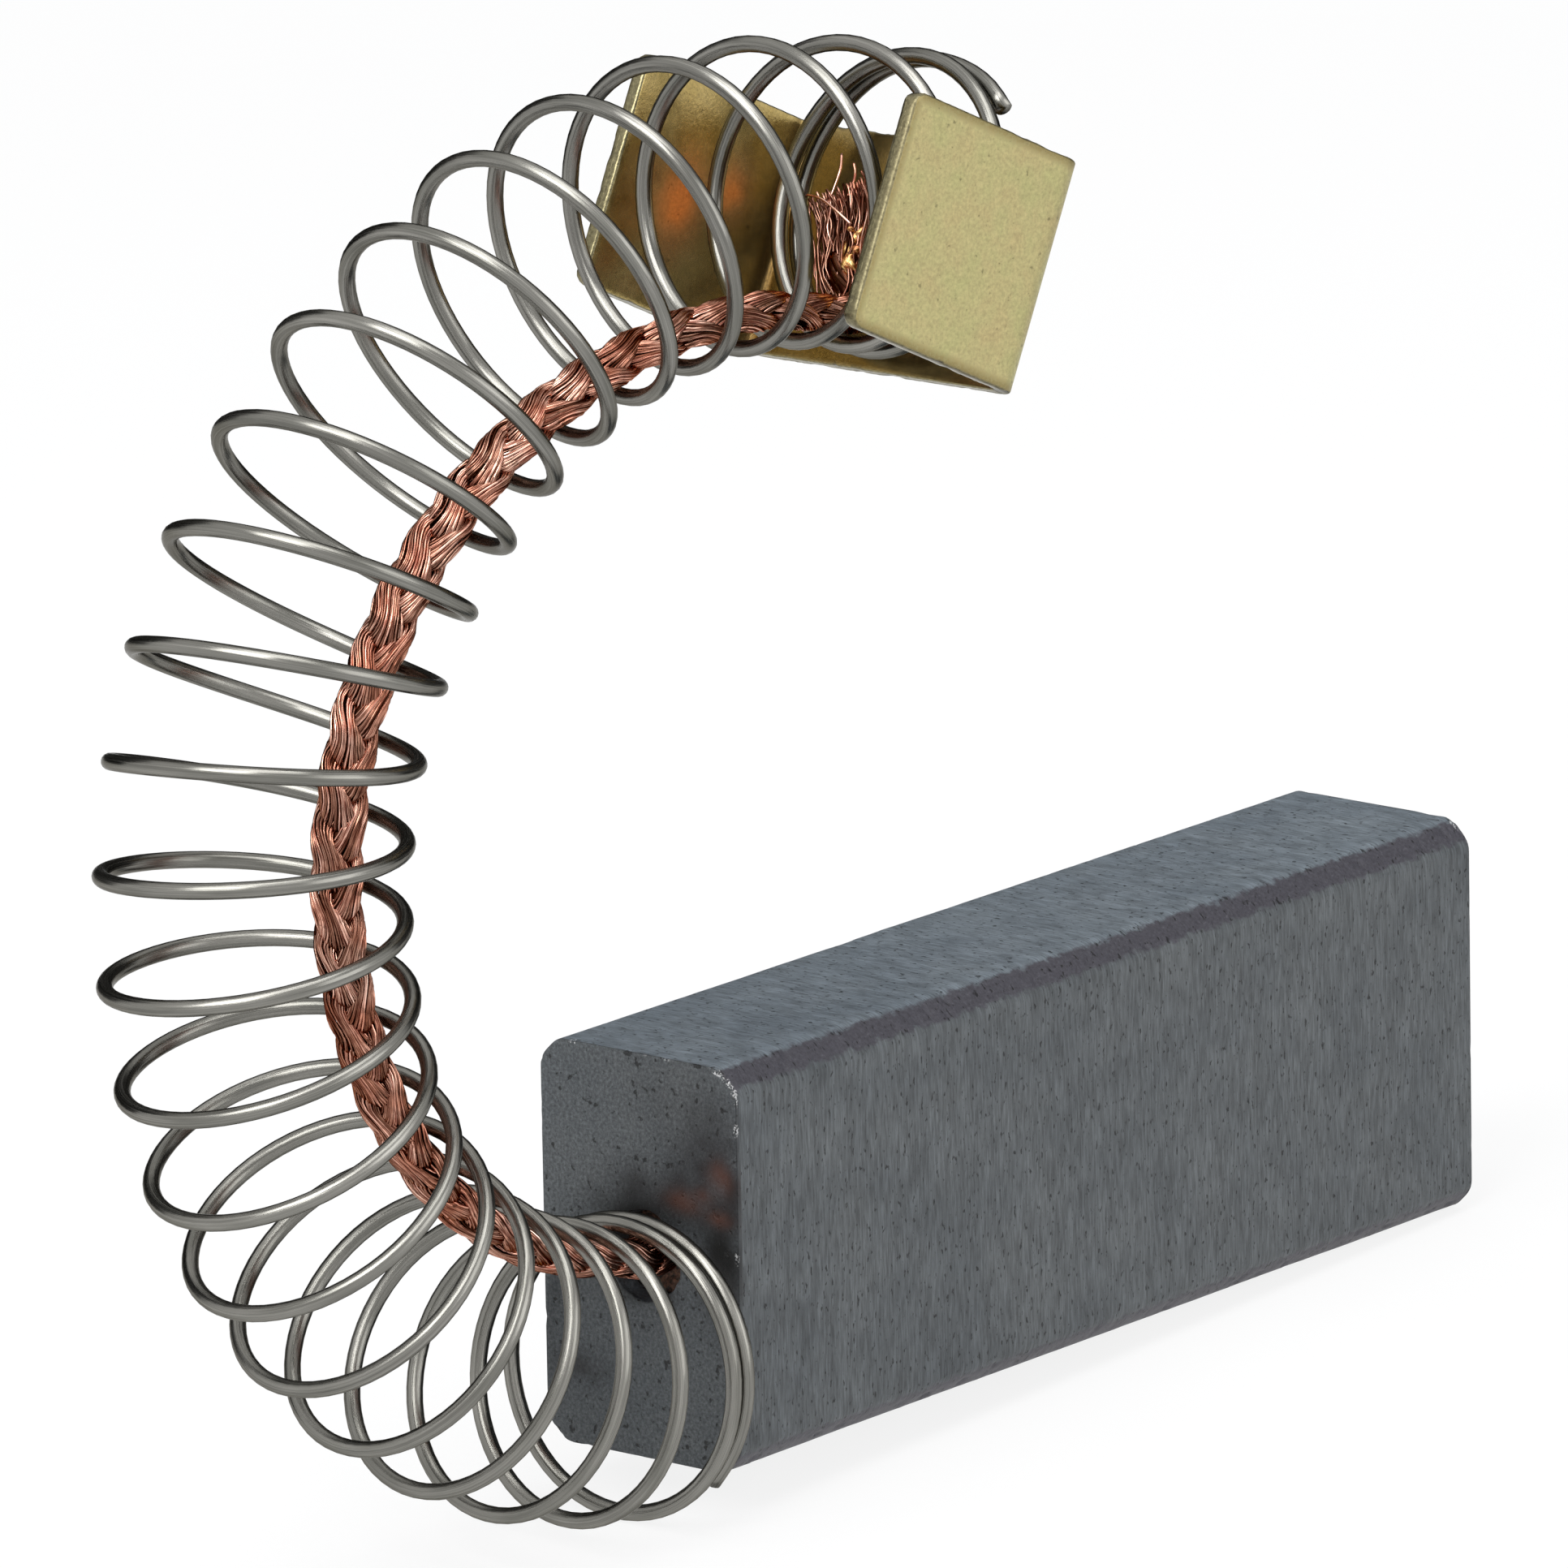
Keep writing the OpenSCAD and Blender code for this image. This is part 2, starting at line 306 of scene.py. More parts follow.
def tube(path, radius, sides, side_hint):
    """Rings round a path, and each point's place: how far along, and the way it stands off the path."""
    tangent = unit(np.gradient(path, axis=0))
    u = unit(side_hint - (side_hint * tangent).sum(axis=-1, keepdims=True) * tangent)
    v = np.cross(tangent, u)
    angles = 2 * math.pi * np.arange(sides) / sides
    off = np.cos(angles)[None, :, None] * u[:, None] + np.sin(angles)[None, :, None] * v[:, None]
    place = stacked(*np.broadcast_arrays(column(lengths(path)), np.cos(angles), np.sin(angles)))
    return path[:, None] + off * radius, place


# Materials


class Graph:
    """The nodes of a material or of the world."""

    def __init__(self, owner):
        owner.use_nodes = True
        self.nodes = owner.node_tree.nodes
        self.links = owner.node_tree.links

    def put(self, node, inputs):
        """Links or sets a node's inputs, which are given by their names or numbers."""
        for key, value in inputs.items():
            if isinstance(value, bpy.types.NodeSocket):
                self.links.new(value, node.inputs[key])
            else:
                node.inputs[key].default_value = (*value, 1) if isinstance(value, tuple) else value
        return node

    def add(self, kind, inputs):
        return self.put(self.nodes.new("ShaderNode" + kind), inputs)

    def math(self, operation, a, b, c=0.0):
        node = self.add("Math", {0: a, 1: b, 2: c})
        node.operation = operation
        return node.outputs[0]

    def show(self, output, share, a, b):
        """Two shaders mixed by a share, as the surface of the output."""
        mixed = self.add("MixShader", {0: share, 1: a.outputs[0], 2: b.outputs[0]})
        self.put(self.nodes[output], {"Surface": mixed.outputs[0]})


class Paint(Graph):
    """One material: a Principled shader and the nodes that feed it."""

    def __init__(self, name, colour, metallic, roughness):
        self.material = bpy.data.materials.new(name)
        super().__init__(self.material)
        self.shader = self.nodes["Principled BSDF"]
        self.put(self.shader, {"Base Color": colour, "Metallic": metallic, "Roughness": roughness})
        coordinates = self.add("TexCoord", {}).outputs
        self.place, self.turned = coordinates["Object"], coordinates["Normal"]

    def attribute(self, name):
        node = self.add("Attribute", {})
        node.attribute_name = name
        return node.outputs["Vector"]

    def noise(self, cells, detail=3, source=None, rough=0.5):
        """Noise whose cells have this size, or these sizes along the three directions, in millimetres."""
        unit_size = MM if source is None else 1
        scale = [1 / (c * unit_size) for c in np.broadcast_to(cells, 3).tolist()]
        mapping = self.add("Mapping", {"Vector": self.place if source is None else source, "Scale": scale})
        inputs = {"Vector": mapping.outputs[0], "Scale": 1, "Detail": detail, "Roughness": rough}
        return self.add("TexNoise", inputs).outputs["Fac"]

    def ramp(self, value, *stops):
        """Colours or numbers between stops of a value."""
        node = self.add("ValToRGB", {"Fac": value})
        elements = node.color_ramp.elements
        for at, colour in stops[2:]:
            elements.new(at)
        for element, (at, colour) in zip(elements, stops):
            element.position = at
            element.color = (*colour, 1) if isinstance(colour, tuple) else (colour, colour, colour, 1)
        return node.outputs["Color"]

    def mix(self, share, a, b, blend="MIX"):
        node = self.add("Mix", {})
        node.data_type = "RGBA"
        node.blend_type = blend
        return self.put(node, {0: share, 6: a, 7: b}).outputs[2]

    def times(self, a, b):
        """A colour multiplied by another."""
        return self.mix(1, a, b, "MULTIPLY")

    def split(self, vector):
        """The three numbers of a vector."""
        return self.add("SeparateXYZ", {0: vector}).outputs

    def blend(self, share, a, b):
        """A number that goes from a to b."""
        return self.add("Mix", {0: share, 2: a, 3: b}).outputs[0]

    def feed(self, name, value):
        self.put(self.shader, {name: value})

    def bump(self, height, depth, strength=1.0):
        """Height from 0 to 1 as relief of this depth in millimetres."""
        inputs = {"Height": height, "Distance": depth * MM, "Strength": strength}
        self.feed("Normal", self.add("Bump", inputs).outputs["Normal"])


def carbon_paint():
    """Fine lines across the ground faces, dark skin on the chamfers, and chips, with painted light: a
    painted glint on the chips, a painted lighter top, painted shade on the flanks, and painted shade,
    painted shadow and a painted copper reflection at the hole.
    """
    paint = Paint("carbon", (0.12, 0.135, 0.142), 0.0, 0.5)
    in_band, at_end, chip = paint.split(paint.attribute("zone"))
    # The spring end's painted shade, painted shadow and painted reflection of the copper shunt.
    painted_shade, painted_shadow, copper = paint.split(paint.attribute("stain"))
    fine_lines = paint.noise((0.07, 0.7, 0.7), 4, rough=0.65)
    long_lines = paint.noise((0.45, 1.6, 1.6), 4, rough=0.65)
    grain = paint.noise(0.1, 4, rough=0.7)
    pits = paint.noise((0.11, 0.22, 0.22), 2)
    cloud = paint.noise((2.5, 2.0, 2.0), 4, rough=0.6)

    lines = paint.math("MULTIPLY_ADD", fine_lines, 0.65, paint.math("MULTIPLY", long_lines, 0.35))
    # The ground faces' lines are set a little darker than the end's grain: painted shade on the flanks.
    line_shade = paint.ramp(lines, (0.36, 0.46), (0.5, 0.84), (0.64, 1.3))
    grain_shade = paint.ramp(grain, (0.3, 0.42), (0.5, 0.94), (0.7, 1.6))
    ground = paint.ramp(cloud, (0.3, (0.074, 0.083, 0.09)), (0.7, (0.1, 0.109, 0.114)))
    ground = paint.times(ground, paint.mix(at_end, line_shade, grain_shade))
    # Faces that point up are painted lighter and bluer: painted light from above.
    painted_top_light = paint.ramp(paint.split(paint.turned)[2], (0.6, 0), (0.9, 1))
    ground = paint.mix(painted_top_light, ground, paint.times(ground, (1.6, 1.72, 1.84)))

    skin_stops = [(0.3, (0.032, 0.03, 0.037)), (0.6, (0.058, 0.056, 0.068)), (0.8, (0.11, 0.107, 0.12))]
    skin = paint.ramp(grain, *skin_stops)
    ragged = paint.math("MULTIPLY_ADD", paint.noise((0.4, 0.3, 0.3), 4, rough=0.65), 0.6, -0.32)
    ragged_band = paint.math("MULTIPLY_ADD", paint.math("ADD", in_band, ragged), 8, 0.5)
    off_end = paint.math("SUBTRACT", 1, at_end)
    band = paint.math("MULTIPLY", paint.ramp(ragged_band, (0, 0), (1, 1)), off_end)

    colour = paint.mix(band, ground, skin)
    colour = paint.times(colour, paint.ramp(pits, (0.31, 0.2), (0.37, 1.0)))
    # Painted shade and painted shadow darken the spring end round the hole, and a painted reflection of the
    # copper shunt tints it.
    colour = paint.mix(painted_shade, colour, (0.012, 0.011, 0.012))
    colour = paint.mix(copper, colour, (0.11, 0.033, 0.015))
    colour = paint.mix(painted_shadow, colour, (0.006, 0.006, 0.006))
    # Chips are painted light grey and glossy: a painted glint.
    broken = paint.ramp(paint.noise(0.06, 2), (0.5, 0), (0.56, 1))
    glint = paint.math("MULTIPLY", chip, broken)
    colour = paint.mix(paint.ramp(glint, (0.08, 0), (0.25, 1)), colour, (0.55, 0.55, 0.55))
    paint.feed("Base Color", colour)
    paint.feed("Roughness", paint.ramp(glint, (0.08, 0.5), (0.25, 0.2)))
    paint.feed("Specular IOR Level", 0.35)
    height = paint.math("ADD", paint.ramp(pits, (0.28, 0), (0.37, 1)), paint.blend(at_end, lines, grain))
    paint.bump(height, 0.025, 0.8)
    return paint.material


def tamping_paint():
    """Dark powder with copper grains."""
    paint = Paint("tamping", (0.08, 0.045, 0.03), 0.3, 0.6)
    grain = paint.noise(0.12, 3)
    paint.feed("Base Color", paint.ramp(grain, (0.35, (0.02, 0.016, 0.014)), (0.65, (0.2, 0.1, 0.06))))
    paint.bump(grain, 0.08)
    return paint.material


def steel_paint():
    """Drawn spring wire: satin, with lines along it."""
    paint = Paint("spring_steel", (0.25, 0.245, 0.225), 1.0, 0.27)
    place = paint.attribute("place")
    drawn = paint.noise((9, 0.16, 0.16), 3, place, rough=0.6)
    stain = paint.noise((2.5, 1.2, 1.2), 3, place)
    base = paint.ramp(stain, (0.3, (0.19, 0.187, 0.168)), (0.7, (0.3, 0.292, 0.268)))
    paint.feed("Base Color", paint.times(base, paint.ramp(drawn, (0.3, 0.6), (0.7, 1.15))))
    paint.feed("Roughness", paint.ramp(drawn, (0.3, 0.16), (0.7, 0.32)))
    paint.feed("Specular Tint", (0.45, 0.44, 0.42))
    paint.bump(drawn, 0.012, 0.5)
    return paint.material


def copper_paint():
    """Fine bare wires, some of them tarnished."""
    paint = Paint("copper_braid", (0.84, 0.45, 0.33), 1.0, 0.24)
    place = paint.attribute("place")
    tint = paint.attribute("tint")
    stain = paint.noise(1.3, 3)
    tarnish = paint.noise((0.5, 0.9, 0.9), 3, place)
    bright = paint.ramp(stain, (0.35, (0.92, 0.59, 0.47)), (0.65, (0.66, 0.29, 0.19)))
    dull = paint.mix(paint.ramp(tarnish, (0.4, 0.0), (0.62, 0.95)), bright, (0.2, 0.065, 0.045))
    paint.feed("Base Color", paint.times(dull, tint))
    paint.feed("Roughness", paint.ramp(tarnish, (0.3, 0.1), (0.7, 0.36)))
    paint.feed("Specular Tint", (0.55, 0.35, 0.28))
    return paint.material


def weld_paint():
    """Golden molten metal, copper red in places."""
    paint = Paint("weld", (0.8, 0.55, 0.25), 1.0, 0.25)
    patch = paint.noise(0.25, 3)
    paint.feed("Base Color", paint.ramp(patch, (0.35, (0.42, 0.17, 0.08)), (0.6, (0.68, 0.42, 0.16))))
    paint.bump(patch, 0.06)
    return paint.material


def brass_paint():
    """Rolled brass sheet: dulled outside, glossier and browner inside, grey where it was sheared."""
    paint = Paint("brass", (0.5, 0.45, 0.22), 0.9, 0.42)
    cut, inside, notch = paint.split(paint.attribute("sheet"))
    copper_reflection, border, painted_plate_shade = paint.split(paint.attribute("tone"))
    cloud = paint.noise(0.9, 4, rough=0.6)
    mottle = paint.noise(0.1, 4, rough=0.7)
    spots = paint.noise(0.2, 2)

    outer_stops = [(0.3, (0.45, 0.42, 0.195)), (0.5, (0.475, 0.42, 0.205)), (0.7, (0.48, 0.4, 0.2))]
    outer = paint.ramp(cloud, *outer_stops)
    inner = paint.ramp(cloud, (0.3, (0.46, 0.34, 0.12)), (0.7, (0.62, 0.48, 0.2)))
    colour = paint.mix(inside, outer, inner)
    # Painted shade inside, in the corner at the plate.
    colour = paint.mix(painted_plate_shade, colour, (0.14, 0.085, 0.027))
    # Painted reflection of the copper shunt on the inside of the back flap.
    colour = paint.mix(copper_reflection, colour, (0.95, 0.31, 0.07))
    patchy_border = paint.math("MULTIPLY", border, paint.ramp(mottle, (0.35, 0.3), (0.6, 1)))
    colour = paint.mix(paint.ramp(patchy_border, (0.05, 0), (0.55, 0.9)), colour, (0.27, 0.215, 0.09))
    colour = paint.times(colour, paint.ramp(mottle, (0.3, 0.76), (0.7, 1.14)))
    colour = paint.times(colour, paint.ramp(spots, (0.26, 0.65), (0.31, 1.0)))

    sheared = paint.ramp(mottle, (0.3, (0.1, 0.085, 0.045)), (0.7, (0.3, 0.265, 0.15)))
    colour = paint.mix(paint.ramp(cut, (0.35, 0), (0.7, 1)), colour, sheared)
    in_notch = paint.math("MULTIPLY", cut, paint.ramp(notch, (0.35, 0), (0.6, 0.8)))
    colour = paint.mix(in_notch, colour, (0.06, 0.05, 0.035))
    paint.feed("Base Color", colour)
    dulled = paint.ramp(cloud, (0.3, 0.4), (0.7, 0.52))
    glossy = paint.ramp(cloud, (0.3, 0.16), (0.7, 0.26))
    paint.feed("Roughness", paint.blend(inside, dulled, glossy))
    # Less metallic where the copper reflection is painted, so that it shows as colour.
    paint.feed("Metallic", paint.math("MULTIPLY_ADD", copper_reflection, -0.5, 0.9))
    paint.bump(mottle, 0.01, 0.5)
    return paint.material


# The block

PROFILE_STEP = 0.25
CORNER_STEP = 0.09
LONG_EDGE = 2
LENGTH_STEP = 0.1
NEAR_EDGE = 0.5
NEAR_EDGE_STEP = 0.05
HOLE_RINGS = 24
END_RINGS = 34
CONTACT_RINGS = 28
EDGE_ROUND = 0.04
HOLE_ROUND = 0.06

# Wear: chips along the ends' edges, a ragged skin on the chamfers, uneven flanks, a crumbled mouth
EDGE_REACH = 0.13
FAR_FROM_EDGE = 9
CHIP_CELL = 0.3
CHIP_FROM = 0.42
FINE_CHIP_FROM = 0.5
CHIP_DEPTH = 0.16
CHIPPED_DEPTH = 0.05
RAGGED_DEPTH = 0.03
RAGGED_CHIPS = 0.12
UNEVEN_DEPTH = 0.02
CRUMBLED_DEPTH = 0.05
CRUMBLED_TO = 0.25


def block_profile():
    """The block's section, as points (y, z) round its middle, closer together at the chamfers."""
    reach = BLOCK_CHAMFER + CHAMFER_BLEND * math.tan(math.pi / 8)
    half_w, half_h = BLOCK_W / 2, BLOCK_H / 2
    w = np.radians(np.linspace(0, 45, round(CHAMFER_BLEND * math.pi / 4 / CORNER_STEP)))
    blend = CHAMFER_BLEND * stacked(np.cos(w), np.sin(w))
    corner = np.concatenate([
        blend + (half_w - CHAMFER_BLEND, half_h - reach),
        blend[::-1, ::-1] + (half_w - reach, half_h - CHAMFER_BLEND),
    ])
    outline = np.concatenate([corner, corner[::-1] * (-1, 1), corner * (-1, -1), corner[::-1] * (1, -1)])
    dense = []
    for a, b in zip(outline, np.roll(outline, -1, axis=0)):
        gap = np.linalg.norm(b - a)
        count = max(1, round(gap / (PROFILE_STEP if gap > LONG_EDGE else CORNER_STEP)))
        dense.append(a + np.linspace(0, 1, count, endpoint=False)[:, None] * (b - a))
    return np.concatenate(dense)


# Painted shade, painted shadow and painted reflections of the copper shunt on the spring end, as (y, z,
# reach in y, reach in z, share)
PAINTED_LIGHT_SPOTS = {
    "painted_shade": (
        (-2.6, 8.1, 1.4, 1.6, 0.9),
        (-0.4, 7.4, 1.5, 0.7, 0.85),
        (-2.9, 5.6, 0.6, 1.6, 0.8),
        (2.1, 2.2, 0.9, 0.5, 0.6),
        (-1.6, 10.2, 1.9, 1.4, 0.3),
    ),
    "painted_shadow": (
        (-2.75, 5.9, 0.6, 1.0, 0.95),
        (0.1, 6.8, 1.4, 0.45, 0.9),
        (-0.9, 4.6, 0.35, 0.5, 0.9),
        (0.5, 4.5, 0.9, 0.3, 0.6),
    ),
    # Painted reflections of the copper shunt
    "copper": (
        (-2.75, 8.15, 0.35, 0.4, 0.7),
        (-1.5, 7.3, 0.6, 0.3, 0.6),
        (-2.7, 7.0, 0.35, 0.2, 0.8),
        (-2.2, 7.6, 0.3, 0.2, 0.4),
    ),
}

# Chipped places on the edge of the spring end, as (y, z, size)
CHIPPED = (
    (-3.1, 10.85, 0.32),
    (-2.7, 11.1, 0.2),
    (-3.3, 10.4, 0.2),
    (-3.34, 9.6, 0.2),
    (-3.34, 6.0, 0.16),
    (2.2, 11.15, 0.12),
    (0.3, 11.17, 0.12),
    (-0.3, 11.17, 0.1),
    (-1.0, 11.17, 0.14),
    (-1.6, 11.17, 0.1),
)


def spot(u, v, at_u, at_v, reach_u, reach_v):
    """A soft spot, from 1 in its middle to nearly 0 at twice its reach."""
    return np.exp(-(((u - at_u) / reach_u) ** 2) - ((v - at_v) / reach_v) ** 2)


def painted_light_shares(points):
    """Shares of painted shade, painted shadow and a painted copper reflection on the spring end."""
    on_end = ease((END_X + 0.3 - points[..., 0]) / 0.2) * (points[..., 0] < END_X + 0.15)
    ragged = 1 + 0.45 * rough(points, 0.7, seed=41)
    shares = []
    for spots in PAINTED_LIGHT_SPOTS.values():
        left = np.ones(points.shape[:-1])
        for y, z, reach_y, reach_z, share in spots:
            left *= 1 - share * spot(points[..., 1], points[..., 2], y, z, reach_y, reach_z)
        shares.append(np.clip((1 - left) * ragged * on_end, 0, 1))
    return stacked(*shares)


def chips(points, seed):
    """Depths of small chips, most of them none."""
    large = np.clip(noise(points, CHIP_CELL, seed) - CHIP_FROM, 0, 1)
    return large + 0.5 * np.clip(noise(points, CHIP_CELL / 2, seed + 1) - FINE_CHIP_FROM, 0, 1)


def block_rings(profile, normal, spoke):
    """The block's points, ring by ring from the bottom of the hole to the middle of the contact face.

    Each ring also has its share of an end face, its points' distances from that face's edge, and the way
    into the block along x: 1 from the spring end, -1 from the contact face, 0 in the hole.
    """
    rings = []

    def ring(x, outline, end, distance, inward_x):
        points = np.concatenate([np.full((len(outline), 1), x), outline], axis=1)
        rings.append((points, end, np.broadcast_to(distance, (len(outline),)), inward_x))

    def shrunk(by):
        return profile - normal * by + BLOCK_MIDDLE

    def rounded(x, angles, inward_x):
        for angle in np.radians(angles):
            outline = shrunk(EDGE_ROUND * (1 - math.cos(angle)))
            ring(x + inward_x * EDGE_ROUND * (1 - math.sin(angle)), outline, 0.5, 0, inward_x)

    for x in np.linspace(END_X + HOLE_DEPTH, END_X + 0.2, HOLE_RINGS):
        ring(x, spoke * HOLE_D / 2 + HOLE_MIDDLE, 1, FAR_FROM_EDGE, 0)
    for angle in np.radians((0, 30, 60, 90)):
        r = HOLE_D / 2 + HOLE_ROUND * (1 - math.cos(angle))
        ring(END_X + HOLE_ROUND * (1 - math.sin(angle)), spoke * r + HOLE_MIDDLE, 1, FAR_FROM_EDGE, 0)
    rim = spoke * (HOLE_D / 2 + HOLE_ROUND) + HOLE_MIDDLE
    rim_span = np.linalg.norm(shrunk(EDGE_ROUND) - rim, axis=1)
    for share in 1 - (1 - np.linspace(0, 1, END_RINGS)[1:]) ** 1.5:
        ring(END_X, rim + share * (shrunk(EDGE_ROUND) - rim), 1, (1 - share) * rim_span, 1)
    rounded(END_X, (30, 60), 1)
    past_edge = np.arange(NEAR_EDGE, (BLOCK_LENGTH - LENGTH_STEP) / 2, LENGTH_STEP)
    from_end = np.concatenate([np.arange(EDGE_ROUND, NEAR_EDGE, NEAR_EDGE_STEP), past_edge])
    for d in from_end:
        ring(END_X + d, shrunk(0), 0, d, 1)
    for d in from_end[::-1]:
        ring(CONTACT_X - d, shrunk(0), 0, d, -1)
    rounded(CONTACT_X, (60, 30), -1)
    span = np.linalg.norm(profile, axis=1)
    for share in np.linspace(1, 0.03, CONTACT_RINGS) ** 1.5:
        outline = BLOCK_MIDDLE + share * (shrunk(EDGE_ROUND) - BLOCK_MIDDLE)
        ring(CONTACT_X, outline, 1, (1 - share) * span, -1)

    points, end_share, edge_distance, inward_x = (np.array(values) for values in zip(*rings))
    return points, column(end_share), edge_distance, column(inward_x)


def chipped(points, edge_distance, inward_x, band):
    """Depths of the chips along the edges of both ends, the largest where the photograph shows them."""
    at_edge = np.exp(-((edge_distance / EDGE_REACH) ** 2))
    corner_wear = 0.35 + 0.65 * band
    cut = at_edge * corner_wear * CHIP_DEPTH * chips(points, seed=21)
    broken = 0.4 + (rough(points, 0.16, seed=27) + 0.4).clip(0)
    for y, z, size in CHIPPED:
        near = spot(points[..., 1], points[..., 2], y, z, size, size) * (inward_x == 1) * at_edge
        cut = cut + near * CHIPPED_DEPTH * broken
    return cut


def carbon_block(material):
    """The block with its worn edges, and the hole in its spring end."""
    profile = block_profile()
    normal = unit(np.roll(profile, -1, axis=0) - np.roll(profile, 1, axis=0))[:, ::-1] * (1, -1)
    spoke = unit(profile + BLOCK_MIDDLE - HOLE_MIDDLE)
    in_band = np.minimum(abs(profile[:, 0]) - BLOCK_W / 2, abs(profile[:, 1]) - BLOCK_H / 2) + BLOCK_CHAMFER
    band = ease(in_band / 0.3 + 0.5)
    points, end_share, edge_distance, inward_x = block_rings(profile, normal, spoke)

    cut = chipped(points, edge_distance, inward_x, band)
    waves = RAGGED_DEPTH * (rough(points, 0.5, seed=5) + 1) / 2
    ragged = band * (1 - end_share) * (waves + RAGGED_CHIPS * chips(points, seed=33))
    uneven = (1 - end_share) * (inward_x != 0) * UNEVEN_DEPTH * (noise(points, 2.2, seed=3) + 1) / 2
    at_mouth = (inward_x == 0) * (points[..., 0] < END_X + CRUMBLED_TO)
    crumbled = at_mouth * CRUMBLED_DEPTH * (rough(points, 0.3, seed=8) + 0.6).clip(0)
    across = np.concatenate([np.zeros((len(profile), 1)), normal], axis=1)
    away = np.concatenate([np.zeros((len(profile), 1)), spoke], axis=1)
    points = points - column(cut + ragged + uneven) * across + column(crumbled) * away
    points[..., 0] += cut * inward_x

    zone = stacked(*np.broadcast_arrays(in_band, end_share, cut / CHIP_DEPTH))
    # Painted shade, painted shadow and a painted copper reflection on the spring end.
    stain = painted_light_shares(points)
    piece("carbon_block_worn", points, "carbon_block", "carbon", material, zone=zone, stain=stain)


# The tamping

TAMPING_RINGS = 16
TAMPING_SIDES = 40
LUMP_HEIGHT = 0.12
LUMP_CELL = 0.4
EDGE_SINK = 0.1


def tamping_plug(material):
    """Lumpy copper powder round the shunt, a little below the mouth of the hole."""
    radii = np.concatenate([np.linspace(0.02, HOLE_D / 2 - 0.01, TAMPING_RINGS), [HOLE_D / 2 - 0.005]])
    angles = np.linspace(0, 2 * math.pi, TAMPING_SIDES, endpoint=False)
    x = np.full((len(radii), len(angles)), END_X + PLUG_RECESS)
    x[-1] = END_X + HOLE_DEPTH - 0.02
    y = HOLE_Y + np.outer(radii, np.cos(angles))
    z = HOLE_Z + np.outer(radii, np.sin(angles))
    points = stacked(x, y, z)
    lumps = LUMP_HEIGHT * rough(points, LUMP_CELL, seed=31) + EDGE_SINK * column(radii) ** 2
    points[..., 0] += np.where(column(range(len(radii))) < TAMPING_RINGS, lumps, 0)
    piece("tamping_crown", points, "tamping_plug", "tamping", material)


# The spring

BURR = 0.06
BURR_REACH = 0.25
BURR_OUT = 0.6

# The solid's coil has flat steps, whose middles lie a little further inside its round line than this
FACET_SINK = 0.88 * COIL_R * (1 - math.cos(math.pi / SOLID_TURN_STEPS))


def spring(material):
    """The wound wire, finer than its solid, with a small burr where it was cut at each end."""
    w = np.radians(360 * turns + CUT_ANGLE)
    off = column(np.cos(w)) * frontward(coil_along) + column(np.sin(w)) * inward(coil_along)
    reach = COIL_R - FACET_SINK + END_LIFT * ease(1 - (turns[-1] - turns) / LIFT_TURNS)
    path = coil_centres + column(reach) * off
    points, place = tube(path, WIRE_R, WIRE_SIDES, off)
    for end, step in ((0, -1), (-1, 1)):
        burr = np.exp(-((1 - place[end, :, 1]) / BURR_REACH) ** 2)
        ahead = step * unit(path[end] - path[end - step])
        points[end] += BURR * column(burr) * (ahead + BURR_OUT * off[end])
    return piece("spring_wire", points, "spring", "spring_steel", material, place=place)


# The shunt

SMOOTH_STEPS = 24

# The plait: its bundles weave across and through a flat oval, whose power sets how square it is
PLAIT_PERIOD = 4.8
PLAIT_STEP = 0.18
BUNDLES = 3
BUNDLE_SWAY = 0.8
BUNDLE_DIP = 0.7
BUNDLE_HALF_W = 0.66
BUNDLE_HALF_T = 1.0
ZIGZAG = 0.97
OUTLINE_POWER = 2.6
PRESS_POWER = 8
UNDER_SINK = 0.24
# How far the pattern is turned in the flat section, in degrees, at these shares of its length
FACING = ((0, 0.4, 1), (100, 38, 65))

# Its wires, and the dark strands that fill the bundles below them as painted shade between the wires
WIRES_IN_BUNDLE = 36
FINE_WIRE_R = 0.037
FINE_WIRE_SIDES = 5
WIRE_LAY = 30
HALF_W = SHUNT_W / 2 - FINE_WIRE_R
HALF_T = SHUNT_T / 2 - FINE_WIRE_R
TINT = 0.68
TINT_SPREAD = 0.8
LOOSE_DARKER = 0.15
DARKER_IS_REDDER = np.array([1, 1.2, 1.35])
# How far the tarnish is moved from one wire to the next
TARNISH_SHIFT = np.array([0, 3.1, 1.7])
CORE_SHARE = 0.42
CORE_R = 0.28 * HALF_T
SHADE_CORE_TINT = 0.1
CORE_PAST_FOLD = 1.4
CORE_STRANDS = ((-0.6, 0), (0, 0), (0.6, 0), (0, -0.6), (0, 0.6))

# The frayed fan, where the wires come loose before the fold and spread beyond it
LOOSE_BEFORE_FOLD = 0.9
LOOSE_OVER = 1.4
SPREAD_PAST_FOLD = 0.8
FAN_HALF_W = 0.82
FAN_HALF_T = 0.36
FAN_FLARE = 0.45
FAN_SHUFFLE = 0.8
TIP_CURL = 0.22
TIP_LENGTH = 0.55
SHORTER_BY_STEPS = 1.6

# How each wire strays along its way, as (how far, length of a wave, seed)
WAVES = {
    "drift": (0.2, 2.5, 5),
    "wander_x": (0.03, 0.9, 7),
    "wander_y": (0.03, 0.9, 11),
    "press": (0.5, 1.6, 15),
    "fan_x": (0.13, 0.55, 23),
    "fan_y": (0.12, 0.6, 29),
}

# What each wire has once, each with its seed
TRAITS = {"press": 13, "fan_x": 17, "fan_y": 19, "curl_x": 31, "curl_y": 37, "length": 41, "tint": 43}
TRAIT_SPACING = 1.37
TRAIT_CELL = 0.61

